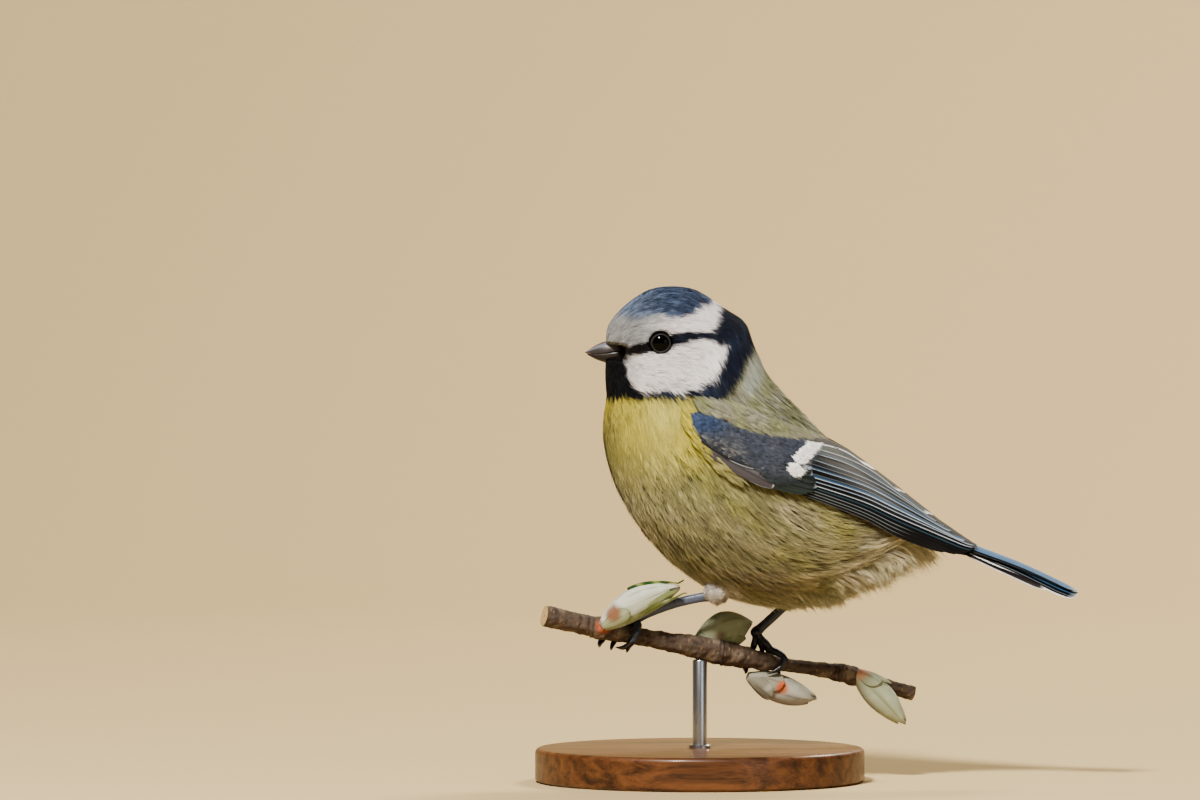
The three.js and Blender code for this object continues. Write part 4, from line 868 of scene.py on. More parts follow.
def overlay(name, y_sign, outline, length, flow_at, levels, colour, per_mm2, blades=5, width=0.18, spread=0.42, slot="wing_feathers", gather=0.0, shade=0.08, border=0.8):
    """Small soft feathers over the wing, with their middles inside an outline on the side view. flow_at gives the turn
    of their lie, levels how far they stand off the wing."""
    shape = from_chart(outline)
    lo, hi = shape.min(0), shape.max(0)
    n = int((hi - lo).prod() * per_mm2 * DENSITY)
    x, z = rng.uniform(lo[0], hi[0], n), rng.uniform(lo[1], hi[1], n)
    keep = inside(700 + x * CHART, 782 - z * CHART, outline, border) > rng.uniform(0.3, 0.95, n)
    x, z = x[keep], z[keep]
    n = len(x)
    flow = flow_at(x, z) + rng.normal(0, 0.07, n)
    L = length(x, z) * rng.uniform(0.8, 1.15, n)
    r = np.repeat(np.arange(n), blades)
    N = len(r)
    s = np.tile(np.linspace(-1, 1, blades), n) + rng.normal(0, 0.15, N)
    Lb = L[r] * (1 - 0.25 * s * s) * rng.uniform(0.9, 1.08, N)
    ux, uz = np.cos(flow)[r], np.sin(flow)[r]
    level = (levels[0] + (levels[1] - levels[0]) * rng.random(n) ** 2)[r]

    def path(l):
        lock = (1 - gather) * (0.25 + 0.75 * l) + gather * (0.45 + 1.25 * l - 1.5 * l * l)
        across = s * spread * lock
        px = x[r] + (l - 0.6) * Lb * ux - across * uz
        pz = z[r] + (l - 0.6) * Lb * uz + across * ux
        lift = level + 0.25 * l - 0.12 * np.abs(s)
        return np.stack([px, y_sign * (wing_out(px, pz) + lift - 0.5 * level * (1 - l) ** 2), pz], -1)

    slope = (wing_out(x, z + 0.2) - wing_out(x, z - 0.2)) / 0.4
    lateral = unit(np.stack([-np.sin(flow), y_sign * slope, np.cos(flow)], 1))[r]
    v, faces, places = strands(r, path, lateral, np.full(N, width) * rng.uniform(0.8, 1.2, N), [1.0, 0.9], 2)
    c = colour(x, z)
    tone = rng.normal(0, shade, n) * np.clip(1.3 - 1.2 * np.sqrt(c.mean(1)), 0.2, 1)
    # painted shade: with gather, the middle blades of a tuft are lighter and the side blades darker
    c = c[r] * np.maximum(0.2, 1 + tone[r] + rng.normal(0, 0.05, N) + gather * (0.16 - 0.3 * np.abs(s)))[:, None]
    cols = c[:, None] * (0.55 + 0.5 * sstep(0, 0.6, places[None, :, None]))
    u0 = (x - lo[0]) / (hi[0] - lo[0]) * 0.99 + 0.005
    v0 = (z - lo[1]) / (hi[1] - lo[1]) * 0.99 + 0.005
    U = u0[r][:, None] + (places[None] - 0.5) * 0.0028
    V = v0[r][:, None] + (np.clip(s, -1.3, 1.3) * 0.0011)[:, None] + np.array([-1e-4, 1e-4, -1e-4, 1e-4, 0])[None]
    o = make_mesh(name, v.reshape(-1, 3), faces, cols.reshape(-1, 3), np.stack([U, V], -1).reshape(-1, 2), smooth=False)
    return finish_piece(o, MAT["coat"], slot)


def trunk_colour(dx, dz):
    """The trunk's own colours, looked up a little way off, where the wing doesn't cover them."""
    def f(x, z):
        at = np.stack([x + dx, np.full(x.shape, -14.0), z + dz], -1)
        return body_colour(at)
    return f


def mantle_colour(x, z):
    p = np.stack([x, 0 * x, z], -1)
    w1, w2 = wobble(p, 2.2, 0.3), wobble(p, 0.8, 4.0)
    return blend(np.broadcast_to(C["mantle_grey"], p.shape), C["mantle"], sstep(-0.4, 0.8, w1)) * (1 + 0.12 * w2)[:, None]


SCAPULARS = [(700, 399), (716, 398), (735, 402), (765, 414), (800, 428), (826, 437), (806, 437), (784, 434), (757, 429), (740, 424), (724, 417), (708, 410), (698, 409)]
SHOULDER = [(683, 404), (692, 407), (695, 418), (700, 430), (709, 443), (720, 455), (734, 468), (746, 478), (740, 484), (722, 472), (706, 456), (692, 438), (684, 420)]
for side, y_sign in (("left", -1), ("right", 1)):
    wing_core(side, y_sign)
    feather_mesh("wing_vanes_" + side, wing_feathers(y_sign), MAT["vane"], "wing_feathers")
    overlay("wing_coverts_" + side, y_sign, COVERTS, lambda x, z: np.interp(x, [-1, 6, 16, 22], [2.0, 2.8, 3.4, 3.0]), lambda x, z: np.interp(x, [-2, 6, 14, 22], [-0.50, -0.42, -0.36, -0.40]), (0.7, 1.1), covert_colour, 13.0, shade=0.14)
    for k, shape in enumerate(BAR):
        overlay("wing_bar_%d_%s" % (k, side), y_sign, shape, lambda x, z: np.full(x.shape, 1.7), lambda x, z: np.full(x.shape, -0.50), (1.4, 1.75), lambda x, z: np.broadcast_to(W["white"], x.shape + (3,)), 26.0, width=0.15, spread=0.3, shade=0.10, gather=0.5, border=1.6)
    overlay("coat_scapulars_" + side, y_sign, SCAPULARS, lambda x, z: np.full(x.shape, 3.4), lambda x, z: np.interp(x, [0, 10, 24], [-0.72, -0.60, -0.52]), (0.7, 1.2), mantle_colour, 8.0, 9, 0.11, 0.5, "body_plumage", 0.7, 0.10, 5.0)
    overlay("coat_shoulder_" + side, y_sign, SHOULDER, lambda x, z: np.full(x.shape, 3.6), lambda x, z: np.interp(z, [60, 68, 76], [-0.62, -0.85, -1.05]), (0.25, 0.9), trunk_colour(-1.2, -1.2), 4.5, 7, 0.10, 0.4, "body_plumage", 0.8, 0.20, 4.0)

# ------------------------------------------------------------------ tail
TAIL_LINE = from_chart([(905, 517), (940, 530), (976, 545.5), (1020, 562.5), (1060, 581), (1079, 591.5)])


def rectrix(k, y_sign):
    """One tail feather: k is 0 in the middle and 5 at the outside."""
    n = 40
    line, length = along_line(TAIL_LINE, 200)
    reach = [0.985, 1.0, 1.0, 0.995, 0.985, 0.845][k]
    start = 0.05
    l = np.linspace(0, 1, n)
    at = start + (reach - start) * l
    ex, ez = np.interp(at, np.linspace(0, 1, 200), line[:, 0]), np.interp(at, np.linspace(0, 1, 200), line[:, 1])
    outer = (0.9 + 0.82 * k) * (0.45 + 0.55 * sstep(0, 0.9, l)) + (0.9 if k == 0 else 0)
    tip = 0.14 if k else 0.08
    rnd = np.where(l > 1 - tip, np.sqrt(np.clip(1 - ((l - 1 + tip) / tip) ** 2, 0, 1)), 1)
    width = np.minimum(4.4, 1.6 + 4.0 * sstep(0, 0.5, l)) * (1 if k else 0.95)
    c = ACROSS
    mid = outer - width * 0.5
    yy = mid[:, None] + (0.5 - c)[None] * (width * rnd)[:, None]
    drop = 0.52 * np.maximum(0, yy) ** 1.12 * np.interp(l, [0, 0.3, 1], [1.1, 1.0, 0.86])[:, None] + 0.10 * k + 0.12 * np.minimum(0, yy) ** 2
    z = ez[:, None] - drop + 0.10 * np.sin(np.pi * c)[None]
    x = ex[:, None] - 0.25 * drop
    v = np.stack([x, y_sign * yy, z], -1).reshape(-1, 3)
    m = len(c)
    i, j = np.meshgrid(np.arange(n - 1), np.arange(m - 1), indexing="ij")
    i, j = i.reshape(-1), j.reshape(-1)
    q = np.stack([i * m + j, i * m + j + 1, (i + 1) * m + j + 1, (i + 1) * m + j], 1)
    if y_sign > 0:
        q = q[:, ::-1]
    look = [
        striped(W["edge"] * 0.9, W["blue"] * 1.05, W["blue"] * 0.8, 0.03, 0.75, W["edge"], 0.99),
        striped(W["blue"] * 1.1, W["blue"] * 0.9, W["black"], 0.05, 0.14, W["edge"], 0.985),
        striped(W["blue"] * 0.95, W["blue"] * 0.7, W["black"], 0.05, 0.10, W["edge"], 0.985),
        striped(W["edge_dull"], W["black"] * 1.5, W["black"], 0.04, 0.10, W["edge"], 0.985),
        striped(W["white"], W["black"] * 1.5, W["black"], 0.085, 0.14, W["edge"], 0.98),
        striped(W["white"] * 0.9, W["brown_black"] * 1.5, W["brown_black"] * 1.6, 0.05, 0.2, W["white"], 0.95, edge_from=0.45),
    ][k]
    L, Cc = np.meshgrid(l, c, indexing="ij")
    barb = (L * length * 5.0 + np.abs(Cc - 0.46) * 26).reshape(-1)
    return v, q, look(L, Cc).reshape(-1, 3), barb, np.stack([L, Cc], -1).reshape(-1, 2)


feather_mesh("tail_vanes", [rectrix(k, s) for k in (5, 4, 3, 2, 1, 0) for s in (-1, 1)], MAT["vane"], "tail_feathers", "tail")

# ------------------------------------------------------------------ bill
# x, culmen, gonys, half width
BILL = np.array([(-14.6, 90.6, 86.6, 2.15), (-17.4, 91.1, 86.2, 2.1), (-19.0, 91.0, 86.4, 1.9), (-20.3, 90.65, 86.75, 1.6), (-21.6, 90.05, 87.25, 1.15), (-22.8, 89.25, 87.9, 0.62), (-23.7, 88.62, 88.42, 0.12)])


def bill_half(upper):
    n, m = 44, 26
    rows = spline(BILL, np.linspace(0, 1, n))
    f = np.linspace(0, 1, n)
    x, top, low, half = rows.T
    x = x if upper else np.maximum(x, -23.3)
    meet = 88.55 - 0.12 * np.sin(np.pi * f) - 0.05 * f + 0.35 * sstep(0.45, 0.1, f)
    meet = np.clip(meet, low + 0.04, top - 0.04)
    edge = meet + (0.03 if upper else -0.03)
    ridge = top if upper else low
    ridge = np.where(upper, np.maximum(ridge, edge + 0.05), np.minimum(ridge, edge - 0.05))
    a = np.linspace(0, np.pi, m)
    keel = np.abs(np.sin(a)) ** 0.9
    y = half[:, None] * np.sign(np.cos(a)) * np.abs(np.cos(a)) ** 0.8
    z = edge[:, None] + (ridge - edge)[:, None] * keel
    v = np.stack([x[:, None] + 0 * y, y, z], -1)
    i, j = np.meshgrid(np.arange(n - 1), np.arange(m), indexing="ij")
    i, j = i.reshape(-1), j.reshape(-1)
    k = (j + 1) % m
    q = np.stack([i * m + j, (i + 1) * m + j, (i + 1) * m + k, i * m + k], 1)
    if not upper:
        q = q[:, ::-1]
    tri = np.array([(0, c, c + 1) for c in range(1, m - 1)])
    end = (n - 1) * m
    tri2 = np.array([(end, end + c + 1, end + c) for c in range(1, m - 1)])
    tris = np.concatenate([tri, tri2])
    if not upper:
        tris = tris[:, ::-1]
    hgt = (z - edge[:, None]) / (ridge - edge)[:, None]
    dark, mid, pale = rgb(24, 23, 27), rgb(64, 59, 61), rgb(140, 138, 150)
    if upper:
        # painted highlight: a pale band along the upper mandible just below the culmen stands in for the light's sheen
        # on the ridge
        col = blend(np.broadcast_to(mid, v.shape), pale, sstep(0.45, 0.72, hgt) * sstep(0.98, 0.86, hgt) * 0.7)
        col = blend(col, dark, sstep(0.16, 0.02, hgt) * 0.8)
        col = blend(col, rgb(128, 118, 116), sstep(0.25, 0.40, hgt) * sstep(0.60, 0.45, hgt) * (sstep(0.55, 0.3, f) * 0.5)[:, None])
    else:
        col = blend(np.broadcast_to(dark, v.shape), mid, sstep(0.5, 0.1, hgt) * 0.5)
    col = blend(col, dark, sstep(0.86, 0.97, f)[:, None] * 0.6)
    return v.reshape(-1, 3), q, tris, col.reshape(-1, 3)


MAT["horn"] = material("bill_horn", rough=0.33, spec=0.5, bump=[(900, 0.15, 0.0001)])
for tag, upper in (("upper", True), ("lower", False)):
    v, q, tr, c = bill_half(upper)
    finish_piece(make_mesh("bill_" + tag + "_horn", v, [q, tr], c), MAT["horn"], "horn", "bill_" + tag)



def bristles(side, s):
    """Short dark feathers that lie forward over the bill's base."""
    n = int(420 * DENSITY)
    x = rng.uniform(-16.3, -13.8, n)
    z = rng.uniform(86.4, 90.3, n)
    y = np.interp(x, [-17, -15.5, -14.4], [1.75, 2.1, 2.6])
    root = np.stack([x, s * y, z], 1)
    L = rng.uniform(0.9, 2.2, n) * np.where(np.abs(z - 88.9) < 1.2, 0.7, 1.0)
    up = np.where(z > 89.6, 0.35, -0.25) + rng.normal(0, 0.25, n)
    way = unit(np.stack([-np.ones(n), s * rng.uniform(0.0, 0.22, n) - s * 0.10, up * 0.55], 1))
    side_on = unit(np.cross(way, np.array([0, s, 0.2]) + rng.normal(0, 0.2, (n, 3))))

    def path(l):
        return root + way * (L * l)[:, None] + np.stack([0 * L, s * 0.28 * np.sin(np.pi * min(1.0, 0.25 + 0.75 * l)) + 0 * L, -0.10 * L * l * l], 1)

    v, faces, places = strands(np.arange(n), path, side_on, rng.uniform(0.06, 0.11, n), [1.0, 0.7], 2)
    tone = rng.uniform(0.4, 1.1, n)[:, None] * np.where((rng.random(n) < 0.10)[:, None], 3.2, 1.0)
    cols = (C["lores"] * 0.8 * tone)[:, None] * (0.8 + 0.4 * places[None, :, None])
    u = np.stack([(x + 17.0) / 3.0, (z - 85.8) / 6.0], 1) * 0.98 + 0.01
    uv = u[:, None] + np.stack([(places - 0.5) * 0.0028, np.array([-1, 1, -1, 1, 0]) * 0.0003], 1)[None]
    finish_piece(make_mesh("coat_bristles_" + side, v.reshape(-1, 3), faces, cols.reshape(-1, 3), uv.reshape(-1, 2), smooth=False), MAT["coat"], "head_plumage")


bristles("left", -1)
bristles("right", 1)

# ------------------------------------------------------------------ eyes
MAT["eye"] = material("eye_wet", rough=0.03, spec=0.3, ior=1.34)
MAT["lid"] = material("eyelid", rough=0.5, spec=0.4, bump=[(4000, 0.4, 0.00005)])


def eye(side, s):
    n, m = 40, 64
    ph = np.linspace(0, np.pi, n)[:, None]
    th = (np.arange(m) / m * 2 * np.pi)[None]
    r = EYE["ball"]
    d = np.stack([np.sin(ph) * np.cos(th), np.cos(ph) + 0 * th, np.sin(ph) * np.sin(th)], -1)
    p = d * r
    p[..., 1] *= np.where(d[..., 1] > 0, 0.86, 1)
    p = p * np.array([1, s, 1]) + np.array([EYE["x"], s * EYE_Y, EYE["z"]])
    i, j = np.meshgrid(np.arange(n - 1), np.arange(m), indexing="ij")
    i, j = i.reshape(-1), j.reshape(-1)
    k = (j + 1) % m
    q = np.stack([i * m + j, i * m + k, (i + 1) * m + k, (i + 1) * m + j], 1)
    if s > 0:
        q = q[:, ::-1]
    out = np.hypot(d[..., 0], d[..., 2]) * r
    iris, pupil, rim = rgb(11, 8, 7), rgb(4, 3, 3), rgb(6, 6, 6)
    col = np.broadcast_to(iris, d.shape)
    col = blend(col, pupil, sstep(1.30, 1.15, out))
    col = blend(col, rim, sstep(1.75, 1.95, out))
    finish_piece(make_mesh("eye_" + side + "_ball", p.reshape(-1, 3), q, col.reshape(-1, 3)), MAT["eye"], "eye", "eye_" + side)
    # lid: a thin ring round the eye, and bare dark skin falling back from it
    m, n = 72, 16
    th = np.arange(m) / m * 2 * np.pi
    prof = [(1.82, 1.30), (1.90, 1.52), (1.98, 1.62), (2.06, 1.65), (2.13, 1.62), (2.20, 1.54), (2.35, 1.25), (2.6, 0.7), (2.9, -0.2)]
    rr = 0.89 * np.array([x for x, _ in prof])[:, None] * (1 + 0.012 * np.sin(23 * th) * np.array([0, .5, 1, 1, 1, .7, 0, 0, 0])[:, None])
    oval = 1 + 0.02 * np.cos(2 * th)
    hh = np.array([y for _, y in prof])[:, None] + 0 * th
    p = np.stack([EYE["x"] + rr * oval * np.cos(th), s * (EYE_Y + hh + 0.10), EYE["z"] + rr * np.sin(th) * 0.98], -1)
    k1 = len(prof)
    i, j = np.meshgrid(np.arange(k1 - 1), np.arange(m), indexing="ij")
    i, j = i.reshape(-1), j.reshape(-1)
    k = (j + 1) % m
    q = np.stack([i * m + j, i * m + k, (i + 1) * m + k, (i + 1) * m + j], 1)
    if s < 0:
        q = q[:, ::-1]
    ring = np.array([0, 0.3, 1, 1, 0.8, 0, 0, 0, 0])[:, None] + 0 * th
    col = blend(np.broadcast_to(rgb(22, 22, 28), p.shape), rgb(92, 85, 82), ring * 0.34)
    finish_piece(make_mesh("eyelid_" + side, p.reshape(-1, 3), q, col.reshape(-1, 3)), MAT["lid"], "head_plumage")


eye("left", -1)
eye("right", 1)

# ------------------------------------------------------------------ twig
TWIG = np.array([(-32.0, 34.8, 2.15), (-24.7, 33.1, 2.1), (-20.6, 32.0, 2.25), (-15.5, 30.7, 1.8), (-9.9, 29.7, 1.75), (-4.0, 28.5, 2.15), (0.0, 27.6, 2.5), (4.6, 26.6, 2.7), (9.3, 25.5, 2.2), (15.5, 24.2, 1.5), (20.4, 23.4, 1.35), (26.4, 22.5, 1.6), (30.9, 21.5, 1.85), (37.1, 19.5, 1.4), (44.3, 17.4, 1.5)])
TWIG_TURN = 0.32


def twig_at(x):
    x = np.asarray(x, float)
    i = np.clip(np.searchsorted(TWIG[:, 0], x, side="right"), 1, len(TWIG) - 1)
    a, b = TWIG[i - 1], TWIG[i]
    f = np.clip((x - a[..., 0]) / (b[..., 0] - a[..., 0]), 0, 1)
    point = np.stack([x, TWIG_TURN * x, a[..., 1] + (b[..., 1] - a[..., 1]) * f], -1)
    way = unit(np.stack([b[..., 0] - a[..., 0], TWIG_TURN * (b[..., 0] - a[..., 0]), b[..., 1] - a[..., 1]], -1))
    return point, a[..., 2] + (b[..., 2] - a[..., 2]) * f, way


def round_twig(x, angle, off):
    point, radius, way = twig_at(x)
    near = unit(np.stack([way[..., 1], -way[..., 0], 0 * way[..., 0]], -1))
    top = unit(np.cross(near, way))
    top = top * np.sign(top[..., 2:3])
    angle = np.asarray(angle, float)[..., None]
    rad = (radius + off)[..., None] if np.ndim(radius) else radius + off
    return point + near * rad * np.sin(angle) + top * rad * np.cos(angle)


def centripetal(points, n):
    """A smooth line through points, even in length."""
    p = np.asarray(points, float)
    d = np.concatenate([[0], np.cumsum(np.sqrt(np.linalg.norm(np.diff(p, axis=0), axis=1)))])
    ext = np.vstack([2 * p[0] - p[1], p, 2 * p[-1] - p[-2]])
    kd = np.concatenate([[d[0] - (d[1] - d[0])], d, [2 * d[-1] - d[-2]]])
    u = np.linspace(d[0], d[-1], 400)
    i = np.clip(np.searchsorted(kd, u, side="right") - 1, 1, len(ext) - 3)
    P0, P1, P2, P3 = ext[i - 1], ext[i], ext[i + 1], ext[i + 2]
    t0, t1, t2, t3, uu = [a[:, None] for a in (kd[i - 1], kd[i], kd[i + 1], kd[i + 2], u)]
    A1 = (t1 - uu) / (t1 - t0) * P0 + (uu - t0) / (t1 - t0) * P1
    A2 = (t2 - uu) / (t2 - t1) * P1 + (uu - t1) / (t2 - t1) * P2
    A3 = (t3 - uu) / (t3 - t2) * P2 + (uu - t2) / (t3 - t2) * P3
    B1 = (t2 - uu) / (t2 - t0) * A1 + (uu - t0) / (t2 - t0) * A2
    B2 = (t3 - uu) / (t3 - t1) * A2 + (uu - t1) / (t3 - t1) * A3
    c = (t2 - uu) / (t2 - t1) * B1 + (uu - t1) / (t2 - t1) * B2
    s = np.concatenate([[0], np.cumsum(np.linalg.norm(np.diff(c, axis=0), axis=1))])
    at = np.linspace(0, s[-1], n)
    return np.stack([np.interp(at, s, c[:, k]) for k in range(3)], 1)


MAT["bark"] = material("bark", rough=0.78, spec=0.3, bump=[(2600, 0.5, 0.00018), (9000, 0.35, 0.00006)])
MAT["cut_wood"] = material("cut_wood", rough=0.7, spec=0.3)


def twig():
    n, m = 420, 44
    line = centripetal(np.stack([TWIG[:, 0], TWIG_TURN * TWIG[:, 0], TWIG[:, 1]], 1), n)
    r = np.interp(line[:, 0], TWIG[:, 0], TWIG[:, 2])
    # old bud scars swell the twig a little
    for x, h, w in ((-21.5, 0.22, 1.2), (-8.0, 0.12, 0.8), (13.5, 0.25, 1.2), (29.0, 0.30, 1.4), (31.8, 0.22, 0.8), (38.5, 0.15, 0.8)):
        r = r + h * np.exp(-(((line[:, 0] - x) / w) ** 2))
    v, q, caps, place, angle = tube_mesh(line, r * 0.985, m)
    centre = np.concatenate([np.repeat(line, m, 0), line[:1], line[-1:]])
    d = v - centre
    lump = 0.075 * wobble(v, 1.7, 2.0) + 0.05 * wobble(v, 0.7, 4.0) + 0.03 * wobble(v, 0.3, 7.0)
    x = v[:, 0]
    ridge = 0.03 * np.sin(angle * 5 + 0.35 * x + wobble(v, 3.0, 1.0)) + 0.018 * np.sin(11 * angle - 0.5 * x)
    rings = 0.0 * x
    for x0 in (-22.8, -21.9, 4.2, 5.0, 28.2, 28.8, 30.2):
        rings = rings - 0.07 * np.exp(-(((x - x0 - 0.2 * np.sin(angle)) / 0.16) ** 2))
    v = centre + d * (1 + lump + ridge + rings)[:, None]
    base, light, dark, red = rgb(92, 79, 69), rgb(142, 126, 110), rgb(42, 33, 28), rgb(88, 62, 50)
    w1, w2, w3 = wobble(v, 1.8, 3.0), wobble(v, 0.55, 6.0), wobble(v * np.array([0.35, 1, 1]), 0.5, 8.0)
    col = blend(np.broadcast_to(base, v.shape), light, sstep(0.0, 0.8, w1 + 0.3 * w3) * 0.6)
    col = blend(col, dark, sstep(0.1, 0.8, w3 - 0.3 * w1) * 0.6)
    col = blend(col, red, sstep(0.3, 0.9, w2) * 0.45)
    col = blend(col, dark, np.clip(-rings * 12, 0, 1) * 0.7)
    # pale lenticels
    lx, la = rng.uniform(-31, 44, 150), rng.uniform(0, 2 * np.pi, 150)
    near = np.zeros(len(v))
    for a_, b_ in zip(lx, la):
        da = np.abs((angle - b_ + np.pi) % (2 * np.pi) - np.pi) * 1.8
        near = np.maximum(near, np.exp(-(((x - a_) / 0.16) ** 2 + (da / 0.3) ** 2) * 1.5))
    col = blend(col, rgb(176, 152, 122), near * 0.6)
    knob = np.linalg.norm((v - np.array([-19.8, -9.0, 32.6])) / np.array([2.3, 3.0, 2.3]), axis=1)
    col = blend(col, rgb(206, 112, 88), sstep(1.0, 0.25, knob) * 0.85)
    o = make_mesh("twig_bark", v, [q], col)
    finish_piece(o, MAT["bark"], "bark", "twig")
    # the two clean cuts
    for k, (at, way) in enumerate(((line[0], line[0] - line[3]), (line[-1], line[-1] - line[-4]))):
        way = unit(way)
        side = unit(np.cross(way, [0, 0, 1]))
        over = np.cross(side, way)
        rr = np.linspace(0.0, 1, 12)
        th = np.arange(m) / m * 2 * np.pi
        rad = (r[0] if k == 0 else r[-1]) * 1.0
        P = at + way * 0.02 + (side * np.cos(th)[:, None] + over * np.sin(th)[:, None])[None] * (rr * rad)[:, None, None]
        i, j = np.meshgrid(np.arange(11), np.arange(m), indexing="ij")
        i, j = i.reshape(-1), j.reshape(-1)
        kk = (j + 1) % m
        qq = np.stack([i * m + j, (i + 1) * m + j, (i + 1) * m + kk, i * m + kk], 1)
        rings = 0.5 + 0.5 * np.sin(rr * 20)[:, None] + 0 * th
        c = blend(np.broadcast_to(rgb(206, 182, 138), P.shape), rgb(170, 136, 92), rings * 0.5)
        c = blend(c, rgb(96, 116, 60), np.broadcast_to(sstep(0.86, 0.93, rr)[:, None] * sstep(1.0, 0.95, rr)[:, None], rings.shape) * 0.7)
        c = blend(c, rgb(120, 84, 52), np.broadcast_to(sstep(0.14, 0.06, rr)[:, None], rings.shape) * 0.8)
        finish_piece(make_mesh("twig_cut_%d" % k, P.reshape(-1, 3), qq, c.reshape(-1, 3), smooth=False), MAT["cut_wood"], "bark")


twig()

# ------------------------------------------------------------------ buds
BUDS = {
    "bud_front": dict(root=(-20.3, 32.6), tip=(-4.1, 40.6), off=(-2.4, -7.4), radius=3.1, flat=0.8, full=0.44, bow=1.3),
    "bud_back": dict(root=(-1.0, 28.3), tip=(10.9, 32.2), off=(1.2, 3.6), radius=3.9, flat=0.7, full=0.5, bow=0.6),
    "bud_low": dict(root=(9.9, 21.6), tip=(24.3, 16.6), off=(0.6, 0.2), radius=2.9, flat=0.9, full=0.5, bow=-0.4),
    "bud_right": dict(root=(32.2, 22.2), tip=(42.8, 11.1), off=(-0.9, -1.8), radius=2.9, flat=0.85, full=0.5, bow=0.3),
}
MAT["bud"] = material("bud_scale", rough=0.7, sheen=0.35, spec=0.25, bump=[(3500, 0.3, 0.00008), (12000, 0.3, 0.00003)])


def bud_frame(b, f):
    root = np.array([b["root"][0], TWIG_TURN * b["root"][0] + b["off"][0], b["root"][1]])
    tip = np.array([b["tip"][0], TWIG_TURN * b["tip"][0] + b["off"][1], b["tip"][1]])
    f = np.asarray(f, float)
    g = np.clip(f, 0, 1) ** (math.log(0.5) / math.log(b["full"]))
    centre = root + f[..., None] * (tip - root) + np.stack([0 * f, 0 * f, b["bow"] * np.sin(np.pi * f)], -1)
    radius = np.maximum(0.10, b["radius"] * np.sin(np.pi * np.clip(g * 0.93 + 0.07, 0, 1)) ** 0.8)
    way = unit(tip - root)
    side = unit(np.cross(way, [0, 0, 1]))
    return centre, radius, way, side, np.cross(side, way)


def bud(name, scales, green, pale, spot, spot_at):
    """A bud of overlapping scales. Each scale: middle angle in degrees (0 faces the near side, 90 the top), half
    angle, start, end, thickness step, curl of the tip, and how green it is."""
    b = BUDS[name]
    parts, cols = [], []
    f = np.linspace(0.0, 1.0, 40)
    c, r, way, side, over = bud_frame(b, f)
    v, q, tr, place, angle = tube_mesh(c, r * 0.86, 30, flat=b["flat"])
    parts.append((v, [q, tr]))
    cols.append(np.broadcast_to(pale * 0.45, v.shape))
    near = -side if side[1] > 0 else side
    for ang, half, f0, f1, step, curl, tint in scales:
        n, m = 26, 15
        l = np.linspace(0, 1, n)[:, None]
        s = np.linspace(-1, 1, m)[None]
        shape = np.sin(np.pi * np.clip(0.16 + 0.84 * l, 0, 1)) ** 0.55
        ff = f0 + (f1 - f0) * l + 0 * s
        cc, rr, _, _, _ = bud_frame(b, ff)
        a = np.radians(ang) + np.radians(half) * s * shape
        lift = 0.80 + step + 0.05 * (1 - s * s) + 0.10 * l
        rad = rr * lift + 0.10
        # beyond the bud's own tip a scale runs on and curls
        p = cc + near * (rad * np.cos(a) * b["flat"])[..., None] + over * (rad * np.sin(a))[..., None]
        p = p + (near * math.cos(math.radians(ang)) + over * math.sin(math.radians(ang))) * (curl * l**3)[..., None] * 1.6
        p = p + over * (0.10 * np.sin(s * 5 + l * 4) * l)[..., None]
        i, j = np.meshgrid(np.arange(n - 1), np.arange(m - 1), indexing="ij")
        i, j = i.reshape(-1), j.reshape(-1)
        q = np.stack([i * m + j, i * m + j + 1, (i + 1) * m + j + 1, (i + 1) * m + j], 1)
        back = p - (near * np.cos(a)[..., None] + over * np.sin(a)[..., None]) * 0.14
        k = n * m
        border = [(0, jj) for jj in range(m)] + [(ii, m - 1) for ii in range(1, n)] + [(n - 1, jj) for jj in range(m - 2, -1, -1)] + [(ii, 0) for ii in range(n - 2, 0, -1)]
        ids = np.array([ii * m + jj for ii, jj in border])
        nxt = np.roll(ids, -1)
        rim = np.stack([nxt, ids, ids + k, nxt + k], 1)
        P = np.concatenate([p.reshape(-1, 3), back.reshape(-1, 3)])
        parts.append((P, [np.concatenate([q, q[:, ::-1] + k, rim])]))
        vein = np.exp(-((s / 0.05) ** 2)) * 0.35 + 0.2 * (0.5 + 0.5 * np.sin(9 * s + 2.2 * l)) ** 3
        col = np.broadcast_to(pale * (1 - tint) + green * tint, p.shape)
        col = blend(col, green * 0.6, vein * sstep(0.1, 0.4, l))
        col = blend(col, green * 0.45, sstep(0.78, 1.0, np.abs(s)) * 0.5 + 0 * l)
        w = wobble(p, 1.1, 5.0 + ang)
        col = blend(col, pale * 1.1, sstep(0.1, 0.9, w) * 0.4)
        col = blend(col, rgb(108, 78, 52), sstep(0.90, 1.0, l) * 0.5 + 0 * s)
        d = np.linalg.norm(p - np.asarray(spot_at), axis=-1)
        col = blend(col, spot, sstep(spot_at_r[name], spot_at_r[name] * 0.35, d) * 0.9)
        cols.append(np.concatenate([col.reshape(-1, 3), col.reshape(-1, 3) * 0.9]))
    verts, faces = join(parts)
    o = make_mesh(name + "_scales", verts, faces, np.concatenate(cols))
    return finish_piece(o, MAT["bud"], "bud", name)


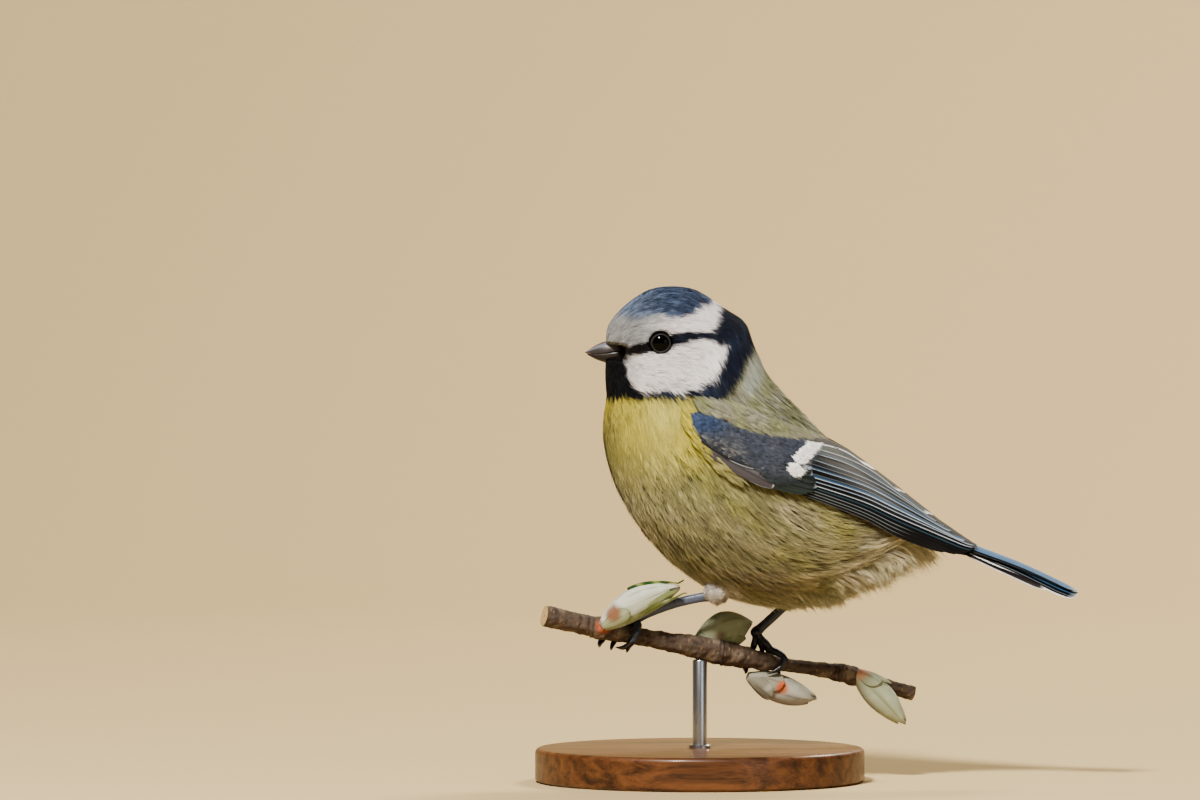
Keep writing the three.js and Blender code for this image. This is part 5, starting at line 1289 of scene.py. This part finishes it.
spot_at_r = {"bud_front": 2.6, "bud_back": 2.4, "bud_low": 2.0, "bud_right": 3.0}
GREEN, PALE = rgb(122, 134, 78), rgb(188, 194, 172)
bud("bud_front", [(100, 70, 0.02, 1.00, 0.06, 0.1, 0.5), (62, 70, 0.02, 0.99, 0.12, 0.05, 0.0), (90, 30, 0.42, 1.08, 0.28, 0.7, 1.4), (8, 58, 0.10, 0.88, 0.16, 0.0, 0.25), (-42, 62, 0.02, 0.99, 0.14, 0.1, 0.8), (34, 40, 0.20, 1.0, 0.21, 0.05, 0.05), (-78, 40, 0.15, 1.04, 0.14, 0.9, 0.9), (-12, 36, 0.0, 0.34, 0.26, 0.1, 0.6), (180, 90, 0.0, 0.9, 0.1, 0.2, 0.6)],
    rgb(112, 128, 52), rgb(206, 210, 196), rgb(140, 92, 68), (-18.0, -11.0, 35.4))
# painted shade: bud_back, under the bird's belly, takes darker copies of the bud colours (GREEN at 0.8, PALE at 0.62)
bud("bud_back", [(80, 85, 0.0, 0.98, 0.08, 0.1, 0.45), (0, 75, 0.0, 0.92, 0.12, 0.0, 0.35), (-60, 60, 0.0, 0.8, 0.16, 0.1, 0.7), (35, 55, 0.12, 1.0, 0.18, 0.3, 0.3), (180, 90, 0.0, 0.95, 0.1, 0.1, 0.6)],
    GREEN * 0.8, PALE * 0.62, rgb(96, 72, 52), (4.5, -0.5, 29.5))
bud("bud_low", [(60, 85, 0.0, 0.98, 0.08, 0.05, 0.2), (-20, 75, 0.0, 0.96, 0.13, 0.0, 0.1), (-90, 70, 0.0, 0.9, 0.1, 0.1, 0.4), (20, 60, 0.0, 0.45, 0.2, 0.15, 0.6), (-40, 60, 0.0, 0.36, 0.24, 0.15, 0.7), (180, 90, 0.0, 0.95, 0.1, 0.1, 0.5)],
    rgb(110, 104, 78), rgb(196, 196, 184), rgb(196, 96, 50), (17.2, 2.6, 19.2))
bud("bud_right", [(60, 85, 0.0, 0.97, 0.08, 0.05, 0.35), (-10, 75, 0.0, 0.99, 0.13, 0.1, 0.2), (-80, 70, 0.0, 0.92, 0.1, 0.1, 0.5), (100, 60, 0.0, 0.5, 0.18, 0.2, 0.5), (30, 50, 0.0, 0.34, 0.24, 0.1, 0.3), (180, 90, 0.0, 0.95, 0.1, 0.1, 0.5)],
    GREEN, PALE * 0.95, rgb(214, 158, 128), (33.4, 9.4, 22.4))

# ------------------------------------------------------------------ legs and feet
LEGS = {
    "left": dict(ankle=(3.2, -5.8, 38.8), pad=(-13.4, -4.6, 33.9), bow=0.75),
    "right": dict(ankle=(21.6, 6.6, 40.0), pad=(11.6, 4.6, 30.6), bow=-0.2),
}
FEET = {
    "left": [
        (1.12, [(-13.6, 30), (-14.1, 75), (-14.5, 116)], [(-14.9, 140, 0.9), (-15.6, 166, 1.1), (-16.6, 190, 1.2)]),
        (0.92, [(-14.0, -30), (-15.4, -78), (-16.6, -128)], [(-17.0, -152, 1.0), (-17.4, -174, 1.5), (-17.7, -192, 2.0)]),
        (1.0, [(-14.6, -34), (-17.2, -85), (-19.2, -138)], [(-19.6, -158, 0.95), (-19.9, -178, 1.3), (-20.2, -196, 1.7)]),
        (0.95, [(-13.2, -40), (-13.0, -88), (-13.6, -136)], [(-14.0, -156, 1.0), (-14.4, -176, 1.5), (-14.7, -190, 1.9)]),
    ],
    "right": [
        (1.15, [(14.2, 12), (16.4, 48), (16.8, 78)], [(16.2, 104, 0.9), (15.1, 124, 1.3), (13.7, 141, 1.6)]),
        (0.92, [(12.8, -26), (13.2, -76), (13.6, -126)], [(13.7, -146, 0.7), (13.7, -162, 0.75), (13.6, -174, 0.8)]),
        (1.0, [(11.2, -40), (10.6, -86), (10.4, -136)], [(10.4, -156, 0.7), (10.2, -172, 0.9), (9.9, -184, 1.2)]),
        (0.95, [(14.2, -30), (15.9, -80), (16.8, -128)], [(17.0, -146, 0.7), (17.1, -162, 0.75), (17.1, -174, 0.8)]),
    ],
}
MAT["leg"] = material("leg_skin", rough=0.42, spec=0.45, bump=[(7000, 0.25, 0.00005)])
MAT["claw"] = material("claw_horn", rough=0.28, spec=0.5)


def leg(side):
    L = LEGS[side]
    parts, cols, claws, ccols = [], [], [], []
    a, b = np.array(L["ankle"]), np.array(L["pad"])
    n = 120
    f = np.linspace(-0.10, 1.0, n)
    line = a + (b - a) * f[:, None]
    line[:, 2] += L["bow"] * np.sin(np.pi * np.clip(f, 0, 1))
    r = 0.95 * (1 + 0.3 * (1 - sstep(0, 0.2, f)) + 0.2 * sstep(0.85, 1, f))
    v, q, tr, place, angle = tube_mesh(line, r, 28, flat=0.72)
    cen = np.concatenate([np.repeat(line, 28, 0), line[:1], line[-1:]])
    ff = np.interp(place, [0, 1], [-0.1, 1.0])
    # plates overlap down the front of the shank; the back is smooth
    front = sstep(-0.2, 0.5, np.sin(angle))
    saw = (ff * 8.0) % 1.0
    v = cen + (v - cen) * (1 + front * (0.05 * saw - 0.02))[:, None]
    tone, dark = rgb(90, 98, 118), rgb(38, 41, 52)
    # painted shade: the far (right) leg and its toes are darkened, as they stand in the belly's shadow
    if side == "right":
        tone, dark = tone * 0.38, dark * 0.5
    c = blend(np.broadcast_to(tone, v.shape), dark, front * sstep(0.12, 0.0, saw) * 0.8)
    c = blend(c, dark, sstep(0.75, 1.0, ff) * 0.7)
    c = c * (1 + 0.12 * wobble(v, 0.6, 2.0))[:, None]
    parts.append((v, [q, tr]))
    cols.append(c)
    # ball of the foot
    n1, m1 = 18, 24
    ph, th = np.linspace(0, np.pi, n1)[:, None], (np.arange(m1) / m1 * 2 * np.pi)[None]
    d = np.stack([np.sin(ph) * np.cos(th), np.sin(ph) * np.sin(th), np.cos(ph) + 0 * th], -1)
    P = (np.array(L["pad"]) + d * 1.12 * (1 + 0.03 * np.sin(9 * th) * np.sin(7 * ph))[..., None]).reshape(-1, 3)
    i, j = np.meshgrid(np.arange(n1 - 1), np.arange(m1), indexing="ij")
    i, j = i.reshape(-1), j.reshape(-1)
    k = (j + 1) % m1
    parts.append((P, [np.stack([i * m1 + j, (i + 1) * m1 + j, (i + 1) * m1 + k, i * m1 + k], 1)]))
    cols.append(np.broadcast_to(dark, P.shape))
    for thick, stations, claw in FEET[side]:
        pts = [np.array(L["pad"])] + [round_twig(x, np.radians(an), 0.68 * thick + 0.30) for x, an in stations]
        line = centripetal(pts, 70)
        f = np.linspace(0, 1, 70)
        # three joints with pads between
        r = 0.68 * thick * (1 - 0.16 * f) * (1 + 0.10 * np.cos(f * 6 * np.pi)) * np.where(f > 0.97, 0.92, 1)
        v, q, tr, place, angle = tube_mesh(line, r, 20, up=(1, 0, 0.05))
        cen = np.concatenate([np.repeat(line, 20, 0), line[:1], line[-1:]])
        saw = (place * 13.0) % 1.0
        v = cen + (v - cen) * (1 + 0.05 * saw - 0.02)[:, None]
        parts.append((v, [q, tr]))
        cc = blend(np.broadcast_to(tone * 0.40, v.shape), dark * 0.45, sstep(0.16, 0.0, saw) * 0.9)
        cols.append(cc * (1 + 0.1 * wobble(v, 0.5, 3.0))[:, None])
        cpts = [line[-4]] + [round_twig(x, np.radians(an), o) for x, an, o in claw]
        cl = centripetal(cpts, 40)
        f = np.linspace(0, 1, 40)
        rc = (0.60 * thick) * (1 - f**1.6) + 0.05
        v, q, tr, place, angle = tube_mesh(cl, rc, 16, up=(1, 0, 0.05), flat=1.15)
        claws.append((v, [q, tr]))
        ccols.append(blend(np.broadcast_to(rgb(34, 33, 38), v.shape), rgb(84, 80, 82), sstep(0.5, 1.0, place) * 0.6))
    v, fs = join(parts)
    finish_piece(make_mesh("leg_skin_" + side, v, fs, np.concatenate(cols)), MAT["leg"], "leg_skin", "tarsus_" + side, "foot_" + side)
    v, fs = join(claws)
    finish_piece(make_mesh("claws_" + side, v, fs, np.concatenate(ccols)), MAT["claw"], "leg_skin")


leg("left")
leg("right")


def thigh_coat(side, tone):
    """Loose pale tufts round the feathered part of the leg."""
    a, b = [np.array(p) for p in THIGHS[side]]
    n, blades = int(900 * DENSITY), 6
    f, th = rng.uniform(0, 1, n), rng.uniform(0, 2 * np.pi, n)
    way = unit(b - a)
    across = unit(np.cross(way, [0, 0, 1]))
    over = np.cross(across, way)
    rad = (2.3 - 0.2 * f) * np.sqrt(np.maximum(0.05, 1 - np.abs(2 * f - 1) ** 3))
    r = np.repeat(np.arange(n), blades)
    N = len(r)
    s = np.tile(np.linspace(-1, 1, blades), n) + rng.normal(0, 0.2, N)
    out = (rng.uniform(0, 1, n) ** 1.5)[r]
    L = (rng.uniform(1.4, 2.4, n))[r] * rng.uniform(0.8, 1.1, N)

    def path(l):
        g = f[r] + (l * L) / np.linalg.norm(b - a)
        t2 = th[r] + s * 0.22 * l
        rr = (rad[r] - 0.5 + 0.55 * sstep(0, 0.5, np.asarray(l) + 0 * s)) * (1 - 0.45 * sstep(0.95, 1.6, g)) + (0.1 + 0.9 * out) * l * (1 - 0.8 * sstep(0.9, 1.5, g))
        return a + (b - a) * g[:, None] + across * (rr * np.cos(t2))[:, None] + over * (rr * np.sin(t2))[:, None]

    lateral = (-across * np.sin(th)[:, None] + over * np.cos(th)[:, None])[r]
    v, faces, places = strands(r, path, lateral, np.full(N, 0.16), [1.0, 0.85], 2)
    c = blend(np.broadcast_to(C["thigh"], (n, 3)), rgb(150, 144, 138), rng.uniform(0, 1, n) ** 1.5) * tone * (1 + rng.normal(0, 0.16, n))[:, None]
    cols = c[r][:, None] * (0.6 + 0.45 * sstep(0, 0.6, places[None, :, None]))
    U = (th / (2 * np.pi) * 0.98 + 0.01)[r][:, None] + (np.clip(s, -1.3, 1.3) * 0.0011)[:, None] + np.array([-1e-4, 1e-4, -1e-4, 1e-4, 0])[None]
    V = (f * 0.98 + 0.01)[r][:, None] + (places[None] - 0.5) * 0.0028 + 0 * U
    o = make_mesh("coat_thigh_" + side, v.reshape(-1, 3), faces, cols.reshape(-1, 3), np.stack([U, V], -1).reshape(-1, 2), smooth=False)
    finish_piece(o, MAT["coat"], "leg_plumage")


thigh_coat("left", 1.0)
# painted shade: the far thigh's tufts are darkened to 0.62 of their colour
thigh_coat("right", 0.62)

# ------------------------------------------------------------------ stand
def lathe(profile, m):
    p = np.array(profile)
    th = np.arange(m) / m * 2 * np.pi
    v = np.stack([p[:, :1] * np.cos(th), p[:, :1] * np.sin(th), p[:, 1:] + 0 * th], -1).reshape(-1, 3)
    i, j = np.meshgrid(np.arange(len(p) - 1), np.arange(m), indexing="ij")
    i, j = i.reshape(-1), j.reshape(-1)
    k = (j + 1) % m
    return v, np.stack([i * m + j, i * m + k, (i + 1) * m + k, (i + 1) * m + j], 1)


def wood_material():
    m = material("oiled_wood", rough=0.42, spec=0.45, coat=0.15, attribute=False)
    nt = m.node_tree
    b = nt.nodes["Principled BSDF"]
    tc = nt.nodes.new("ShaderNodeTexCoord")
    mp = nt.nodes.new("ShaderNodeMapping")
    mp.inputs["Scale"].default_value = (10, 150, 150)
    n1 = nt.nodes.new("ShaderNodeTexNoise")
    n1.inputs["Scale"].default_value = 3.0
    n1.inputs["Detail"].default_value = 8
    n1.inputs["Distortion"].default_value = 0.6
    mp2 = nt.nodes.new("ShaderNodeMapping")
    mp2.inputs["Scale"].default_value = (60, 1500, 1500)
    n2 = nt.nodes.new("ShaderNodeTexNoise")
    n2.inputs["Scale"].default_value = 2.0
    n2.inputs["Detail"].default_value = 3
    ramp = nt.nodes.new("ShaderNodeValToRGB")
    ramp.color_ramp.elements[0].position = 0.30
    ramp.color_ramp.elements[0].color = (*rgb(58, 34, 20), 1)
    ramp.color_ramp.elements[1].position = 0.72
    ramp.color_ramp.elements[1].color = (*rgb(126, 82, 50), 1)
    mix = nt.nodes.new("ShaderNodeMath")
    mix.operation = "MULTIPLY_ADD"
    mix.inputs[1].default_value = 0.35
    nt.links.new(tc.outputs["Object"], mp.inputs["Vector"])
    nt.links.new(tc.outputs["Object"], mp2.inputs["Vector"])
    nt.links.new(mp.outputs[0], n1.inputs["Vector"])
    nt.links.new(mp2.outputs[0], n2.inputs["Vector"])
    nt.links.new(n2.outputs["Fac"], mix.inputs[0])
    nt.links.new(n1.outputs["Fac"], mix.inputs[2])
    sub = nt.nodes.new("ShaderNodeMath")
    sub.operation = "SUBTRACT"
    sub.inputs[1].default_value = 0.17
    nt.links.new(mix.outputs[0], sub.inputs[0])
    nt.links.new(sub.outputs[0], ramp.inputs["Fac"])
    nt.links.new(ramp.outputs["Color"], b.inputs["Base Color"])
    bp = nt.nodes.new("ShaderNodeBump")
    bp.inputs["Strength"].default_value = 0.12
    bp.inputs["Distance"].default_value = 0.0001
    nt.links.new(n2.outputs["Fac"], bp.inputs["Height"])
    nt.links.new(bp.outputs["Normal"], b.inputs["Normal"])
    return m


arc = [(33.0 + math.sin(f) * 1.0, 6.0 + math.cos(f) * 1.0) for f in np.linspace(0, math.pi / 2, 8)]
v, q = lathe([(0.02, 0.0), (33.4, 0.0), (34.0, 0.6)] + arc[::-1] + [(2.2, 7.0), (1.75, 7.0), (1.7, 6.6), (0.02, 6.6)], 160)
base = finish_piece(make_mesh("stand_base_wood", v, q), wood_material(), "base_wood", "stand_base")
rod_top = float(twig_at(0.0)[0][2]) - 2.4
v, q = lathe([(0.02, 6.7), (1.5, 6.7), (1.5, rod_top - 0.3), (1.35, rod_top), (0.02, rod_top + 0.02)], 48)
v2, q2 = lathe([(1.5, 7.0), (2.3, 7.0), (2.3, 7.5), (2.1, 7.7), (1.5, 7.7)], 48)
v, fs = join([(v, [q]), (v2, [q2])])
finish_piece(make_mesh("stand_rod_steel", v, fs, smooth=True), material("satin_steel", base=(0.55, 0.55, 0.56), rough=0.28, metallic=1.0, attribute=False), "rod_metal", "stand_rod")
for o in (base, bpy.data.objects["stand_rod_steel"]):
    o.data.polygons.foreach_set("use_smooth", np.ones(len(o.data.polygons), bool))
    mod = o.modifiers.new("edges", "EDGE_SPLIT")
    mod.split_angle = math.radians(35)

# ------------------------------------------------------------------ camera, light, floor
def look_at(o, target):
    o.rotation_mode = "QUATERNION"
    o.rotation_quaternion = (Vector(target) - o.location).to_track_quat("-Z", "Y")


AIM = Vector((-20.6, 0, 78.8)) * MM
cam = bpy.data.objects.new("camera", bpy.data.cameras.new("camera"))
bpy.context.collection.objects.link(cam)
cam.location = AIM + Vector((0, -math.cos(math.radians(2)), math.sin(math.radians(2)))) * 2.5
look_at(cam, AIM)
cam.data.sensor_width = 36
cam.data.lens = 36 * 2.5 / 0.2474
cam.data.clip_start, cam.data.clip_end = 0.1, 50
bpy.context.scene.camera = cam


def area(name, at, size, power, colour=(1, 1, 1), target=(0, 0, 0.07)):
    d = bpy.data.lights.new(name, "AREA")
    d.shape = "DISK"
    d.size = size
    d.energy = power
    d.color = colour
    o = bpy.data.objects.new(name, d)
    bpy.context.collection.objects.link(o)
    o.location = at
    look_at(o, target)
    return o


area("key", (-0.34, -0.95, 1.10), 0.24, 29, (1.0, 0.96, 0.90))
area("fill", (1.0, -1.2, 0.4), 0.9, 2.2, (0.90, 0.95, 1.0))
area("back", (0.5, 0.8, 0.9), 0.4, 11, (1.0, 0.93, 0.80))
world = bpy.data.worlds.new("surround")
world.use_nodes = True
world.node_tree.nodes["Background"].inputs["Color"].default_value = (0.85, 0.88, 0.95, 1)
world.node_tree.nodes["Background"].inputs["Strength"].default_value = 0.11
bpy.context.scene.world = world
bpy.context.scene.view_settings.look = "AgX - Medium High Contrast"

# a pale sweep: floor that bends up into a backdrop
prof = [(-1.6, 0.0), (0.7, 0.0)] + [(0.7 + 0.5 * math.sin(f), 0.5 - 0.5 * math.cos(f)) for f in np.linspace(0.1, math.pi / 2, 14)] + [(1.2, 2.4)]
sv = np.array([[x, y, z] for y, z in prof for x in (-2.2, 2.2)]) / MM
sq = np.array([[2 * i, 2 * i + 1, 2 * i + 3, 2 * i + 2] for i in range(len(prof) - 1)])
sweep = make_mesh("sweep", sv, sq)
sweep.data.materials.append(material("sweep_paper", base=(0.66, 0.52, 0.30), rough=0.9, spec=0.1, attribute=False))
